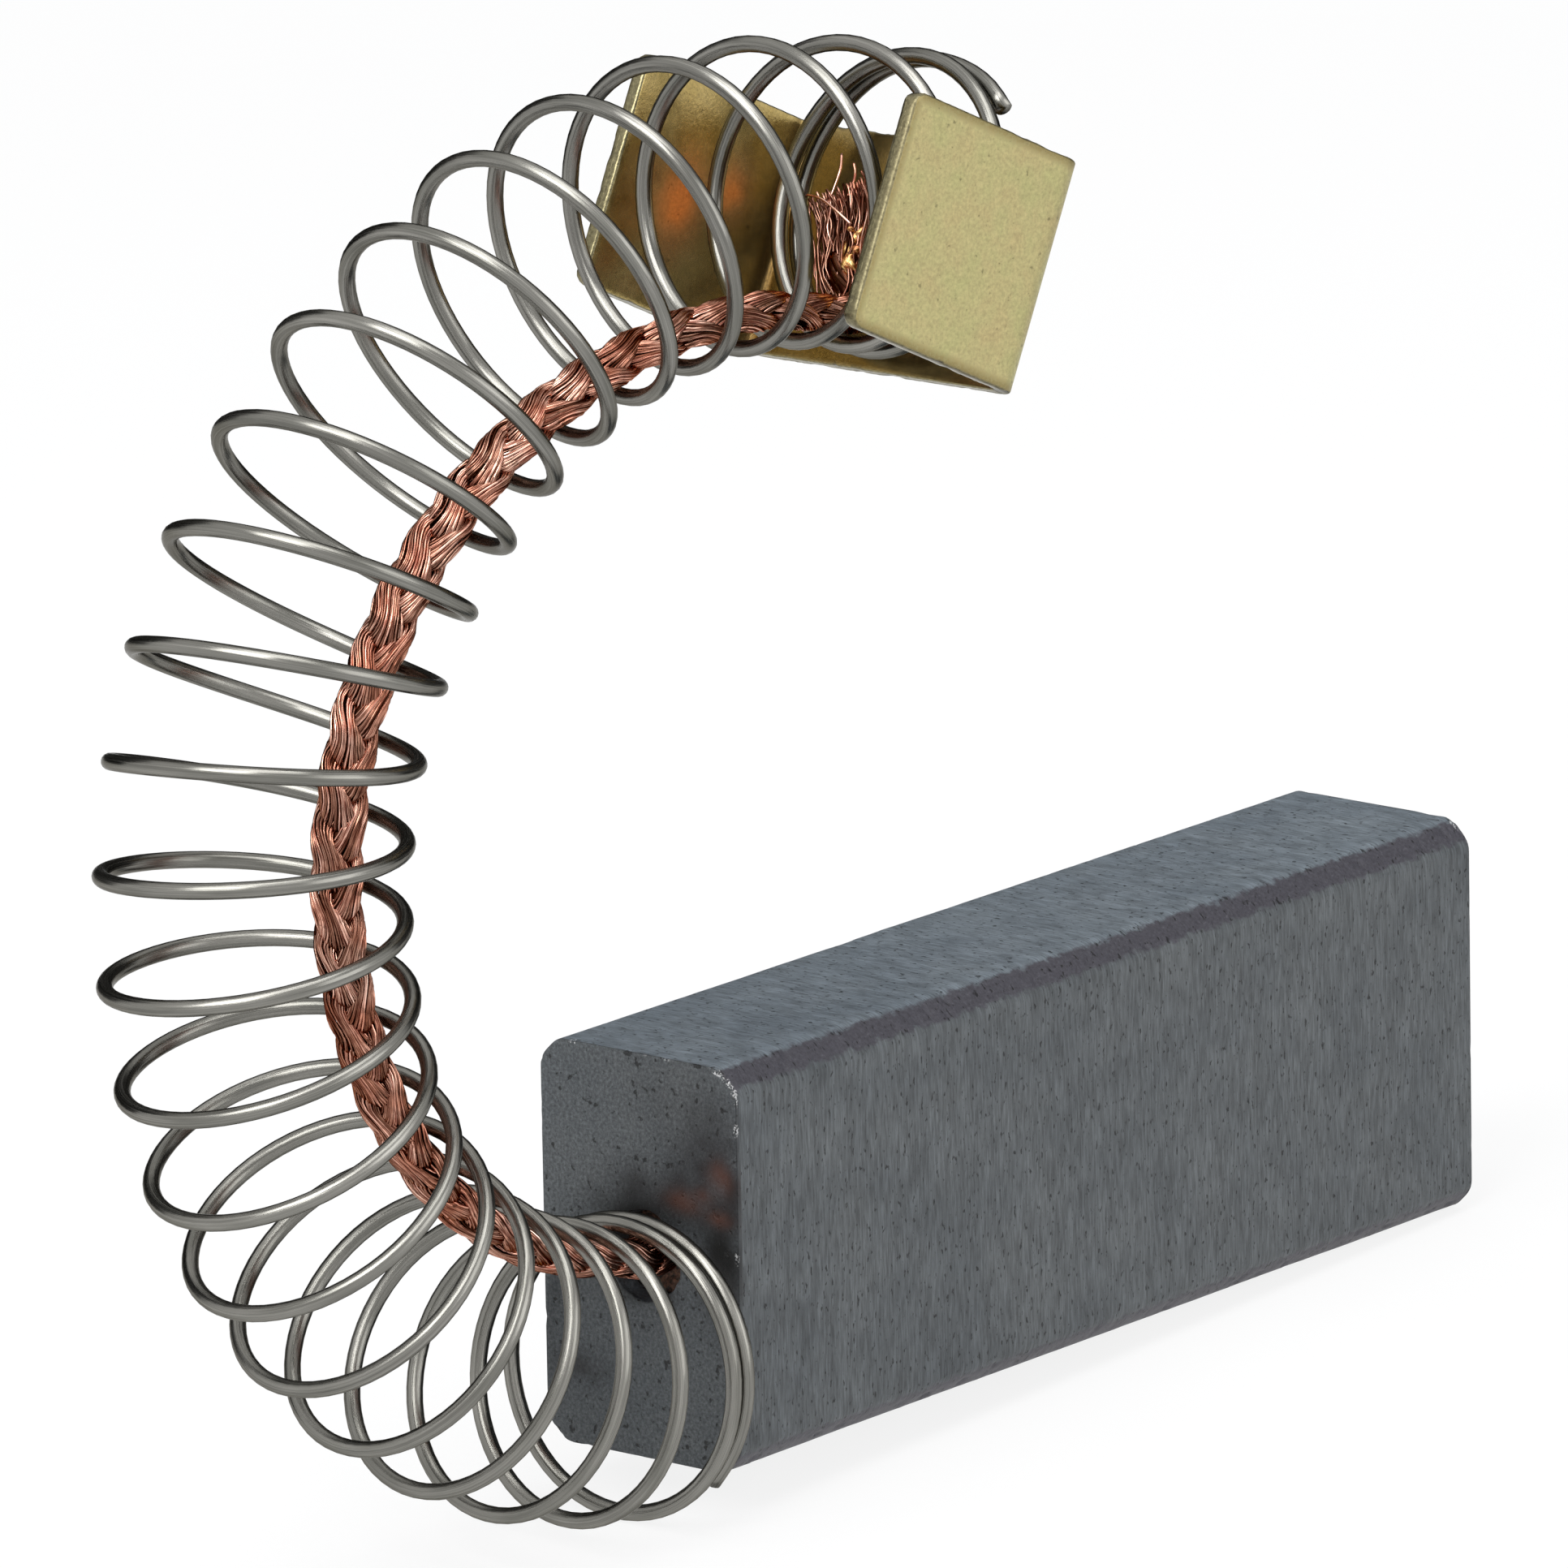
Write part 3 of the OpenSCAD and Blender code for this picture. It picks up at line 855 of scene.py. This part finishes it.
# The stray ends, as points of the clip's frame: two that stick up out of the fan, and one across it
STRAY_ROUTES = (
    [(1.25, -2.0, 0.6), (1.2, -1.95, 1.5), (1.15, -2.0, 1.9), (1.1, -2.15, 2.25)],
    [(1.2, -1.5, 0.5), (1.15, -1.42, 1.3), (1.05, -1.5, 1.75), (1.1, -1.62, 2.05)],
    [(1.45, -0.75, 0.35), (1.62, -1.2, 0.6), (1.66, -1.8, 0.85), (1.5, -2.5, 0.95), (1.35, -2.75, 0.93)],
)
STRAY_STEP = 0.08
STRAY_SIDES = 7
STRAY_TINT = 1.1


def shunt_route():
    """The lead's middle line, from the bottom of the hole to its splayed end, and where its fold starts."""
    offset = COIL_R - WIRE_R - SHUNT_T / 2 - SHUNT_CLEARANCE
    last = math.floor(COIL_TURNS - 2.5)
    route = [
        [END_X + HOLE_DEPTH - SHUNT_END_GAP, HOLE_Y, HOLE_Z],
        [END_X + PLUG_RECESS, HOLE_Y, HOLE_Z],
        [END_X - WIRE_D, HOLE_Y, HOLE_Z],
    ]
    for t in np.arange(SHUNT_FIRST, last + SHUNT_STEP / 2, SHUNT_STEP):
        i = round(t * TURN_STEPS)
        a = math.radians(SHUNT_ROUND) * ease((t - SHUNT_FIRST) / 3)
        out = math.cos(a) * inward(coil_along[i]) + math.sin(a) * frontward(coil_along[i])
        route.append(coil_centres[i] + offset * out)
    fold_z = CLIP_DROP - offset * math.cos(math.radians(SHUNT_ROUND))
    fold_x = WELD_T + SHUNT_T / 2 + SEAT_GAP
    tail = [
        [fold_x + 0.9, 0.25, fold_z - 0.2],
        [fold_x + 0.25, -0.15, fold_z],
        [fold_x, -0.7, fold_z + 0.4],
        [fold_x, -1.15, fold_z + 1.1],
        [fold_x, -1.35, fold_z + 1.8],
        [fold_x + 0.1, -1.5, fold_z + 2.6],
        [fold_x + 0.3, -1.8, fold_z + 3.4],
    ]
    fold_at = len(route)
    return np.concatenate([route, on_clip(tail)]), fold_at


def smooth_line(points, step):
    """A smooth line through points with a point for each step, its lengths, and those at the points."""
    points = np.asarray(points, float)
    ends = np.concatenate([[2 * points[0] - points[1]], points, [2 * points[-1] - points[-2]]])
    u = np.linspace(0, 1, SMOOTH_STEPS, endpoint=False)[:, None]
    dense = []
    for p0, p1, p2, p3 in zip(ends, ends[1:], ends[2:], ends[3:]):
        square = (2 * p0 - 5 * p1 + 4 * p2 - p3) * u**2
        cube = (3 * p1 - p0 - 3 * p2 + p3) * u**3
        dense.append(0.5 * (2 * p1 + (p2 - p0) * u + square + cube))
    dense = np.concatenate([*dense, [points[-1]]])
    s = lengths(dense)
    at = np.linspace(0, s[-1], round(s[-1] / step) + 1)
    line = stacked(*(np.interp(at, s, dense[:, k]) for k in range(3)))
    return line, at, s[::SMOOTH_STEPS]


class Strands:
    """Many fine wires in one mesh, with each point's place along its wire and each wire's tint."""

    def __init__(self):
        self.points, self.places, self.tints, self.faces, self.count = [], [], [], [], 0

    def add(self, path, radius, sides, side_hint, tint, wire):
        p, place = tube(path, radius, sides, side_hint)
        self.points.append(p.reshape(-1, 3))
        self.places.append((place + wire * TARNISH_SHIFT).reshape(-1, 3))
        colour = np.reshape(tint, (-1, 1, 1)) ** DARKER_IS_REDDER
        self.tints.append(np.broadcast_to(colour, (len(p), sides, 3)).reshape(-1, 3))
        self.faces += loft_faces(len(p), sides, self.count)
        self.count += p.shape[0] * sides

    def finish(self, name, material):
        points, place, tint = (np.concatenate(rows) for rows in (self.points, self.places, self.tints))
        piece(name, points, "shunt", "copper_braid", material, self.faces, place=place, tint=tint)


def wave(name, s, wire):
    """How far a wire strays at s of its length."""
    size, length, seed = WAVES[name]
    return size * noise(along_line(s, wire), length, seed)


def trait(name, wire):
    """A number from -1 to 1 that a wire has once."""
    seed = TRAITS[name]
    return float(noise(along_line([wire * TRAIT_SPACING + 0.5], seed), TRAIT_CELL, seed)[0])


def pressed(v):
    """Keeps v within 1, as the plait's straight sides do."""
    return v / (1 + np.abs(v) ** PRESS_POWER) ** (1 / PRESS_POWER)


def zigzag(phase):
    """A wave with nearly straight flanks, from -1 to 1."""
    return np.arcsin(ZIGZAG * np.sin(phase)) / math.asin(ZIGZAG)


class Lead:
    """The shunt's middle line, with its directions and with how far it has come loose along it."""

    def __init__(self):
        route, fold_at = shunt_route()
        self.line, self.s, knots = smooth_line(route, PLAIT_STEP)
        s, tail_s, fold_s, end_s = self.s, knots[fold_at], knots[fold_at + 2], self.s[-1]
        tangent = unit(np.gradient(self.line, axis=0))
        in_tail = ease((s - tail_s) / (end_s - tail_s) * 1.6)
        across = unit(column(1 - in_tail) * (0, -1, 0) + column(in_tail) * clip_y)
        self.side = unit(across - (across * tangent).sum(axis=-1, keepdims=True) * tangent)
        self.depth = np.cross(tangent, self.side)
        self.facing = np.radians(np.interp(s / end_s, *FACING))
        self.loose = ease((s - fold_s + LOOSE_BEFORE_FOLD) / LOOSE_OVER)
        self.splay = ease((s - fold_s - SPREAD_PAST_FOLD) / (end_s - fold_s - SPREAD_PAST_FOLD))
        self.from_tip = np.clip(1 - (end_s - s) / TIP_LENGTH, 0, 1)
        self.core = slice(0, int(np.searchsorted(s, fold_s + CORE_PAST_FOLD)))

    def beside(self, x, y):
        """The line, moved by x across the plait and by y through it."""
        return self.line + column(x) * self.side + column(y) * self.depth

    def turned(self, x, y):
        """The pattern's own x and y, turned into the flat section."""
        cos, sin = np.cos(self.facing), np.sin(self.facing)
        return x * cos - y * sin, x * sin + y * cos

    def laid(self, x, y, bundle, share=1):
        """A path pressed into the plait's flat oval, lower where its bundle lies beneath the others."""
        x, y = self.turned(x, y)
        over_x, over_y = self.turned(*bundle)
        reach = (np.abs(x) ** OUTLINE_POWER + np.abs(y) ** OUTLINE_POWER) ** (1 / OUTLINE_POWER) + 1e-6
        limit = share * (1 - UNDER_SINK * (1 - (over_x * x + over_y * y) / reach) / 2)
        drawn_in = limit * pressed(reach / limit) / reach
        return self.beside(HALF_W * drawn_in * x, HALF_T * drawn_in * y)

    def bundle(self, b):
        """Where the middle of a bundle runs in the plait."""
        uneven = 0.03 * noise(along_line(self.s, 71), 4.0, seed=6)
        phase = 2 * math.pi * (self.s / PLAIT_PERIOD + b / BUNDLES + uneven)
        x = BUNDLE_SWAY * zigzag(phase) + 0.04 * noise(along_line(self.s, b + 5), 1.8, seed=3)
        return x, -BUNDLE_DIP * np.sin(2 * phase)

    def in_plait(self, bundle, k, wire):
        """The way of a bundle's wire k through the plait."""
        s = self.s
        angle = 2 * math.pi * (k / WIRES_IN_BUNDLE + s / WIRE_LAY) + wave("drift", s, wire)
        x = bundle[0] + BUNDLE_HALF_W * np.cos(angle) + wave("wander_x", s, wire) / HALF_W
        y = bundle[1] + BUNDLE_HALF_T * np.sin(angle) + wave("wander_y", s, wire) / HALF_T
        return self.laid(x, y, bundle, 1 - 0.05 * (1 + trait("press", wire)) * (1 + wave("press", s, wire)))

    def in_fan(self, b, k, wire):
        """The way of the same wire through the fan, with a curl at its tip."""
        place = (k * BUNDLES + b + FAN_SHUFFLE * trait("fan_x", wire)) / (BUNDLES * WIRES_IN_BUNDLE)
        x = (place * 2 - 1) * FAN_HALF_W * (1 + FAN_FLARE * self.splay)
        y = trait("fan_y", wire) * FAN_HALF_T * (1 + 0.5 * self.splay)
        curl = TIP_CURL * self.from_tip**2
        x = x + self.loose * wave("fan_x", self.s, wire) + curl * trait("curl_x", wire)
        y = y + self.loose * wave("fan_y", self.s, wire) - curl * (0.4 + trait("curl_y", wire))
        return self.beside(x, y)


def plaited_shunt(material):
    """Three bundles of fine wires, plaited and pressed flat, whose ends part into a fan beyond the fold."""
    lead = Lead()
    for b in range(BUNDLES):
        strands = Strands()
        bundle = lead.bundle(b)
        for k in range(WIRES_IN_BUNDLE):
            wire = b * WIRES_IN_BUNDLE + k
            plait = lead.in_plait(bundle, k, wire)
            path = plait + column(lead.loose) * (lead.in_fan(b, k, wire) - plait)
            stop = len(path) - round(SHORTER_BY_STEPS * (1 + trait("length", wire)))
            tint = (TINT + TINT_SPREAD * trait("tint", wire)) * (1 - LOOSE_DARKER * lead.loose)
            strands.add(path[:stop], FINE_WIRE_R, FINE_WIRE_SIDES, lead.side[:stop], tint[:stop], wire)
        # Dark strands inside each bundle: painted shade seen between the wires.
        for x, y in CORE_STRANDS:
            inside = lead.laid(bundle[0] + x, bundle[1] + y, bundle, CORE_SHARE)[lead.core]
            strands.add(inside, CORE_R, 8, lead.side[lead.core], SHADE_CORE_TINT, 99 + b)
        strands.finish(f"shunt_bundle_{b + 1}", material)


def stray_wires(material):
    """The wire ends that stand out of the fan."""
    strands = Strands()
    for k, route in enumerate(STRAY_ROUTES):
        path = on_clip(smooth_line(route, STRAY_STEP)[0])
        strands.add(path, FINE_WIRE_R, STRAY_SIDES, np.array([0.3, 0.2, 1.0]), STRAY_TINT, 60 + k)
    strands.finish("shunt_stray_wires", material)


# The weld

# Its bead and drops, as (centre, radii, height of its lumps) in the clip's frame
BEADS = (
    ((0.6, -0.9, -0.5), (0.58, 0.4, 0.55), 0.16),
    ((0.66, -0.8, 0.15), (0.56, 0.26, 0.36), 0.12),
    ((0.7, -1.2, -0.7), (0.4, 0.36, 0.22), 0.08),
    ((1.22, -0.95, 0.25), (0.11, 0.1, 0.1), 0.03),
    ((1.16, -0.6, -0.25), (0.12, 0.11, 0.13), 0.03),
)
BEAD_LUMP_CELL = 0.32
BEAD_RINGS = 18
BEAD_SIDES = 36
POLE_GAP = 0.05
OFF_PLATE = 0.005


def ball(centre, radii, lump, seed):
    """A lumpy ellipsoid, as rings from pole to pole along x."""
    up = np.linspace(-math.pi / 2 + POLE_GAP, math.pi / 2 - POLE_GAP, BEAD_RINGS)[:, None]
    turn = np.linspace(0, 2 * math.pi, BEAD_SIDES, endpoint=False)[None]
    shape = stacked(np.sin(up) + 0 * turn, np.cos(up) * np.cos(turn), np.cos(up) * np.sin(turn))
    points = np.array(centre) + shape * radii
    return points + lump * column(rough(points, BEAD_LUMP_CELL, seed)) * shape


def weld_nugget(material):
    """A golden bead that has run through the fan's wires onto the plate, with small drops beside it."""
    points, faces, first = [], [], 0
    for k, (centre, radii, lump) in enumerate(BEADS):
        p = ball(centre, radii, lump, 50 + k)
        p[..., 0] = np.clip(p[..., 0], OFF_PLATE, None)
        points.append(on_clip(p).reshape(-1, 3))
        faces += loft_faces(BEAD_RINGS, BEAD_SIDES, first)
        first += BEAD_RINGS * BEAD_SIDES
    piece("weld_bead", np.concatenate(points), "weld_nugget", "weld_metal", material, faces)


# The clip

CLIP_STEP = 0.12
OUTER_ROUND = 0.09
INNER_ROUND = 0.05

# The sheet's thickness as a share of its solid's, so that its bends stay inside the solid's
FULL_SHEET = 0.985

# The flaps' rounded ends, as (share of the thickness, way past the end) from the outermost ring inwards
ROUNDED_END = ((0.04, 0), (0.35, 0), (0.62, 0.006), (0.8, 0.022), (0.93, 0.045))
NOTCH_DEPTH = 0.05
NOTCH_CELL = 0.35
NOTCH_FROM = 0.2
SHEAR_CELL = 0.1
SHEAR_SHARE = 0.35

# Painted reflections of the copper shunt inside the back flap, as (x, z, reach in x, reach in z, share) in
# the clip's frame
COPPER_REFLECTIONS = ((3.95, -0.1, 0.85, 1.0, 1.0), (2.1, 0.6, 0.6, 0.8, 0.95), (3.0, 0.1, 0.5, 0.5, 0.45))
BORDER = 0.36
PLATE_SHADE = 0.8
CORNER_FROM = 4


def clip_line():
    """The middle of the sheet from one flap's end to the other's, as points (x, y) of the clip's frame."""
    reach = CLIP_D - SHEET_T
    bend_x = CLIP_BEND_R - SHEET_T
    middle_r = CLIP_BEND_R - SHEET_T / 2
    bend_y = CLIP_W / 2 - CLIP_BEND_R
    flap = np.linspace(reach, bend_x, round((reach - bend_x) / CLIP_STEP))
    plate = np.linspace(bend_y, -bend_y, round(2 * bend_y / CLIP_STEP))
    w = np.radians(np.linspace(90, 180, 10))[1:-1]
    front = np.concatenate([
        stacked(flap, np.full(len(flap), bend_y + middle_r)),
        stacked(bend_x + middle_r * np.cos(w), bend_y + middle_r * np.sin(w)),
    ])
    middle = stacked(np.full(len(plate), -SHEET_T / 2), plate)
    return np.concatenate([front, middle, front[::-1] * (1, -1)])


def sheet_section(half_h):
    """The sheet's section as points (t, z), with t towards the inside of the clip."""
    inner, outer = SHEET_T / 2 - INNER_ROUND, -SHEET_T / 2 + OUTER_ROUND
    rows = np.linspace(1, -1, round(CLIP_H / CLIP_STEP))
    w = np.radians(np.linspace(0, 90, 5))
    points = [(-SHEET_T / 2, z * (half_h - OUTER_ROUND)) for z in rows]
    low = [(outer - OUTER_ROUND * math.cos(a), -half_h + OUTER_ROUND * (1 - math.sin(a))) for a in w[1:]]
    low += [(inner + INNER_ROUND * math.sin(a), -half_h + INNER_ROUND * (1 - math.cos(a))) for a in w]
    points += low
    points += [(SHEET_T / 2, z * (half_h - INNER_ROUND)) for z in rows[::-1][1:-1]]
    points += [(t, -z) for t, z in low[::-1]]
    return np.array(points)


def clip_rings():
    """The sheet's rings from one flap's end to the other's, and each point's share of a cut edge."""
    line = clip_line()
    along = unit(np.gradient(line, axis=0))
    out = stacked(-along[:, 1], along[:, 0])
    rings, cut = [], []

    def ring(p, n, share, past, ahead):
        """One ring, less high towards the end of a flap, whose corners are round."""
        from_end = min(np.linalg.norm(p - line[0]), np.linalg.norm(p - line[-1])) + past
        corner = np.clip(FLAP_CORNER_R - from_end, 0, FLAP_CORNER_R)
        half_h = CLIP_H / 2 - (FLAP_CORNER_R - math.sqrt(FLAP_CORNER_R**2 - corner**2))
        section = sheet_section(half_h)
        section[:, 0] *= share
        xy = p + section[:, :1] * n + past * ahead
        rings.append(np.concatenate([xy, section[:, 1:]], axis=1))
        at_cut = np.clip((np.abs(section[:, 1]) - half_h + OUTER_ROUND) / OUTER_ROUND, 0, 1)
        cut.append(np.maximum(at_cut, 1 if share < FULL_SHEET else 0))

    for share, past in ROUNDED_END:
        ring(line[0], out[0], share, past, along[0])
    for p, n in zip(line[1:-1], out[1:-1]):
        ring(p, n, FULL_SHEET, 0, along[0])
    for share, past in ROUNDED_END[::-1]:
        ring(line[-1], out[-1], share, past, -along[-1])
    return np.array(rings), np.array(cut)


def clip_tone(points, inside):
    """Shares of a painted copper reflection, of the worn border outside and of painted shade in the corner
    at the plate.
    """
    x, y, z = points[..., 0], points[..., 1], points[..., 2]
    copper_reflection = np.zeros(x.shape)
    for at_x, at_z, reach_x, reach_z, share in COPPER_REFLECTIONS:
        near = spot(x, z, at_x, at_z, reach_x, reach_z)
        copper_reflection = np.maximum(copper_reflection, share * near * (1 + 0.3 * rough(points, 0.6, seed=64)))
    copper_reflection = np.clip(copper_reflection * inside * (y < 0), 0, 1)
    from_edge = np.minimum(CLIP_H / 2 - abs(z), CLIP_D - SHEET_T - x)
    border = np.clip(1 - from_edge / BORDER, 0, 1) * (1 - inside)
    # Painted shade inside near the plate, deeper in the corners.
    in_corner = ease((abs(y) - CORNER_FROM) / 0.5)
    painted_plate_shade = inside * ease(1 - x / PLATE_SHADE) * (0.6 + 0.4 * in_corner)
    return stacked(copper_reflection, border, painted_plate_shade)


def terminal_clip(material):
    """The folded brass sheet, with its sheared edges rounded outside and notched."""
    points, cut = clip_rings()
    inside = np.broadcast_to((sheet_section(CLIP_H / 2)[:, 0] > 0).astype(float), cut.shape)
    at_end = np.zeros((len(points), 1))
    at_end[: len(ROUNDED_END)] = 1
    at_end[-len(ROUNDED_END) :] = 1
    notches = np.clip(noise(points, NOTCH_CELL, seed=61) - NOTCH_FROM, 0, 1)
    notch = NOTCH_DEPTH * (notches + SHEAR_SHARE * (noise(points, SHEAR_CELL, seed=62) + 1) / 2)
    sheet = stacked(cut, inside, notch / NOTCH_DEPTH)
    tone = clip_tone(points, inside)
    points[..., 0] -= at_end * notch
    points[..., 2] -= (1 - at_end) * cut * notch * np.sign(points[..., 2])
    piece("clip_sheet", on_clip(points), "terminal_clip", "brass_sheet", material, sheet=sheet, tone=tone)


# The setting

FLOOR_HALF = 300
PAPER_GLOW = 0.85
FLAG_R = 160
FLAG_AZIMUTHS = (60, 200)
FLAG_HEIGHTS = (-10, 150)
FLAG_COLUMNS = 33

# The lamps, as (name, azimuth, elevation, distance, size, power)
LAMPS = (
    ("key", -85, 45, 400, 250, 1.2),
    ("fill", 10, 20, 450, 300, 0.5),
    ("top", -30, 80, 400, 250, 0.65),
)


def staged(name, points, faces, material):
    """A mesh of the setting, which isn't part of the object."""
    obj = mesh_object(name, points, faces, material)
    return obj


def paper():
    """White to the eye, with the object's shadow kept."""
    paint = Paint("paper", (0.9, 0.9, 0.9), 0, 0.9)
    path = paint.add("LightPath", {}).outputs
    seen = paint.math("MAXIMUM", path["Is Camera Ray"], path["Is Glossy Ray"])
    glow = paint.math("MULTIPLY", seen, PAPER_GLOW)
    paint.show("Material Output", glow, paint.shader, paint.add("Emission", {}))
    return paint.material


def floor(resting):
    """A pale plane under the contact end's lower edge, sloped so that it touches the lowest coil."""
    points = np.array([v.co for v in resting.data.vertices]) / MM
    slope = max(-points[:, 2] / (CONTACT_X - points[:, 0]))
    corners = ((-1, -1), (1, -1), (1, 1), (-1, 1))
    plane = [[x * FLOOR_HALF, y * FLOOR_HALF, -slope * (CONTACT_X - x * FLOOR_HALF)] for x, y in corners]
    staged("floor", plane, [[0, 1, 2, 3]], paper())


def white_world():
    """White to the eye and in reflections, and softer as a light."""
    world = bpy.data.worlds.new("studio")
    bpy.context.scene.world = world
    graph = Graph(world)
    path = graph.add("LightPath", {}).outputs
    seen = graph.math("MAXIMUM", path["Is Camera Ray"], path["Is Glossy Ray"])
    seen = graph.math("MAXIMUM", seen, path["Is Transmission Ray"])
    soft = graph.put(graph.nodes["Background"], {"Color": (0.95, 0.97, 1), "Strength": 0.5})
    white = graph.add("Background", {"Color": (1, 1, 1), "Strength": 1})
    graph.show("World Output", seen, soft, white)


def dark_wall():
    """A black studio flag behind the part, which the eye sees only where the part reflects it."""
    x, y, _ = (np.array(cad_box[0]) + np.array(cad_box[1])) / 2 / MM
    points = [
        [x + FLAG_R * math.sin(a), y - FLAG_R * math.cos(a), z]
        for a in np.radians(np.linspace(*FLAG_AZIMUTHS, FLAG_COLUMNS))
        for z in FLAG_HEIGHTS
    ]
    faces = [[2 * i, 2 * i + 2, 2 * i + 3, 2 * i + 1] for i in range(FLAG_COLUMNS - 1)]
    obj = staged("flag", points, faces, Paint("flag", (0.02, 0.02, 0.02), 0, 1).material)
    obj.visible_camera = False
    obj.visible_diffuse = False
    obj.visible_shadow = False
    obj.visible_transmission = False


def lamp(name, azimuth, elevation, distance, size, power):
    """A soft square lamp that looks at the middle of the part."""
    a, e = math.radians(azimuth), math.radians(elevation)
    aim = Vector((cad_box[0] + cad_box[1]) / 2)
    back = Vector((math.sin(a) * math.cos(e), -math.cos(a) * math.cos(e), math.sin(e)))
    data = bpy.data.lights.new(name, "AREA")
    data.size = size * MM
    data.energy = power
    obj = bpy.data.objects.new(name, data)
    obj.location = aim + back * distance * MM
    obj.rotation_euler = (-back).to_track_quat("-Z", "Y").to_euler()
    obj.visible_camera = False
    bpy.context.scene.collection.objects.link(obj)


def camera():
    """The view of the photograph."""
    az, el, roll = (math.radians(v) for v in (CAMERA_AZIMUTH, CAMERA_ELEVATION, CAMERA_ROLL))
    ahead = -np.array([math.sin(az) * math.cos(el), -math.cos(az) * math.cos(el), math.sin(el)])
    right = unit(np.cross(ahead, (0, 0, 1)))
    down = np.cross(ahead, right)
    turned_right = math.cos(roll) * right - math.sin(roll) * down
    turned_down = math.sin(roll) * right + math.cos(roll) * down
    x, y, z = SPRING_END_IN_VIEW
    place = np.array([END_X, 0, 0]) - (x * turned_right + y * turned_down + z * ahead)
    data = bpy.data.cameras.new("camera")
    data.sensor_width = SENSOR
    data.lens = FOCAL_PIXELS / PHOTO_PIXELS * SENSOR
    obj = bpy.data.objects.new("camera", data)
    turn = Matrix(np.stack([turned_right, -turned_down, -ahead], axis=1).tolist()).to_4x4()
    obj.matrix_world = Matrix.Translation(Vector(place * MM)) @ turn
    bpy.context.scene.collection.objects.link(obj)
    bpy.context.scene.camera = obj


carbon_block(carbon_paint())
tamping_plug(tamping_paint())
spring_piece = spring(steel_paint())
copper = copper_paint()
plaited_shunt(copper)
stray_wires(copper)
weld_nugget(weld_paint())
terminal_clip(brass_paint())

floor(spring_piece)
white_world()
dark_wall()
for row in LAMPS:
    lamp(*row)
camera()
bpy.context.scene.view_settings.view_transform = "Standard"
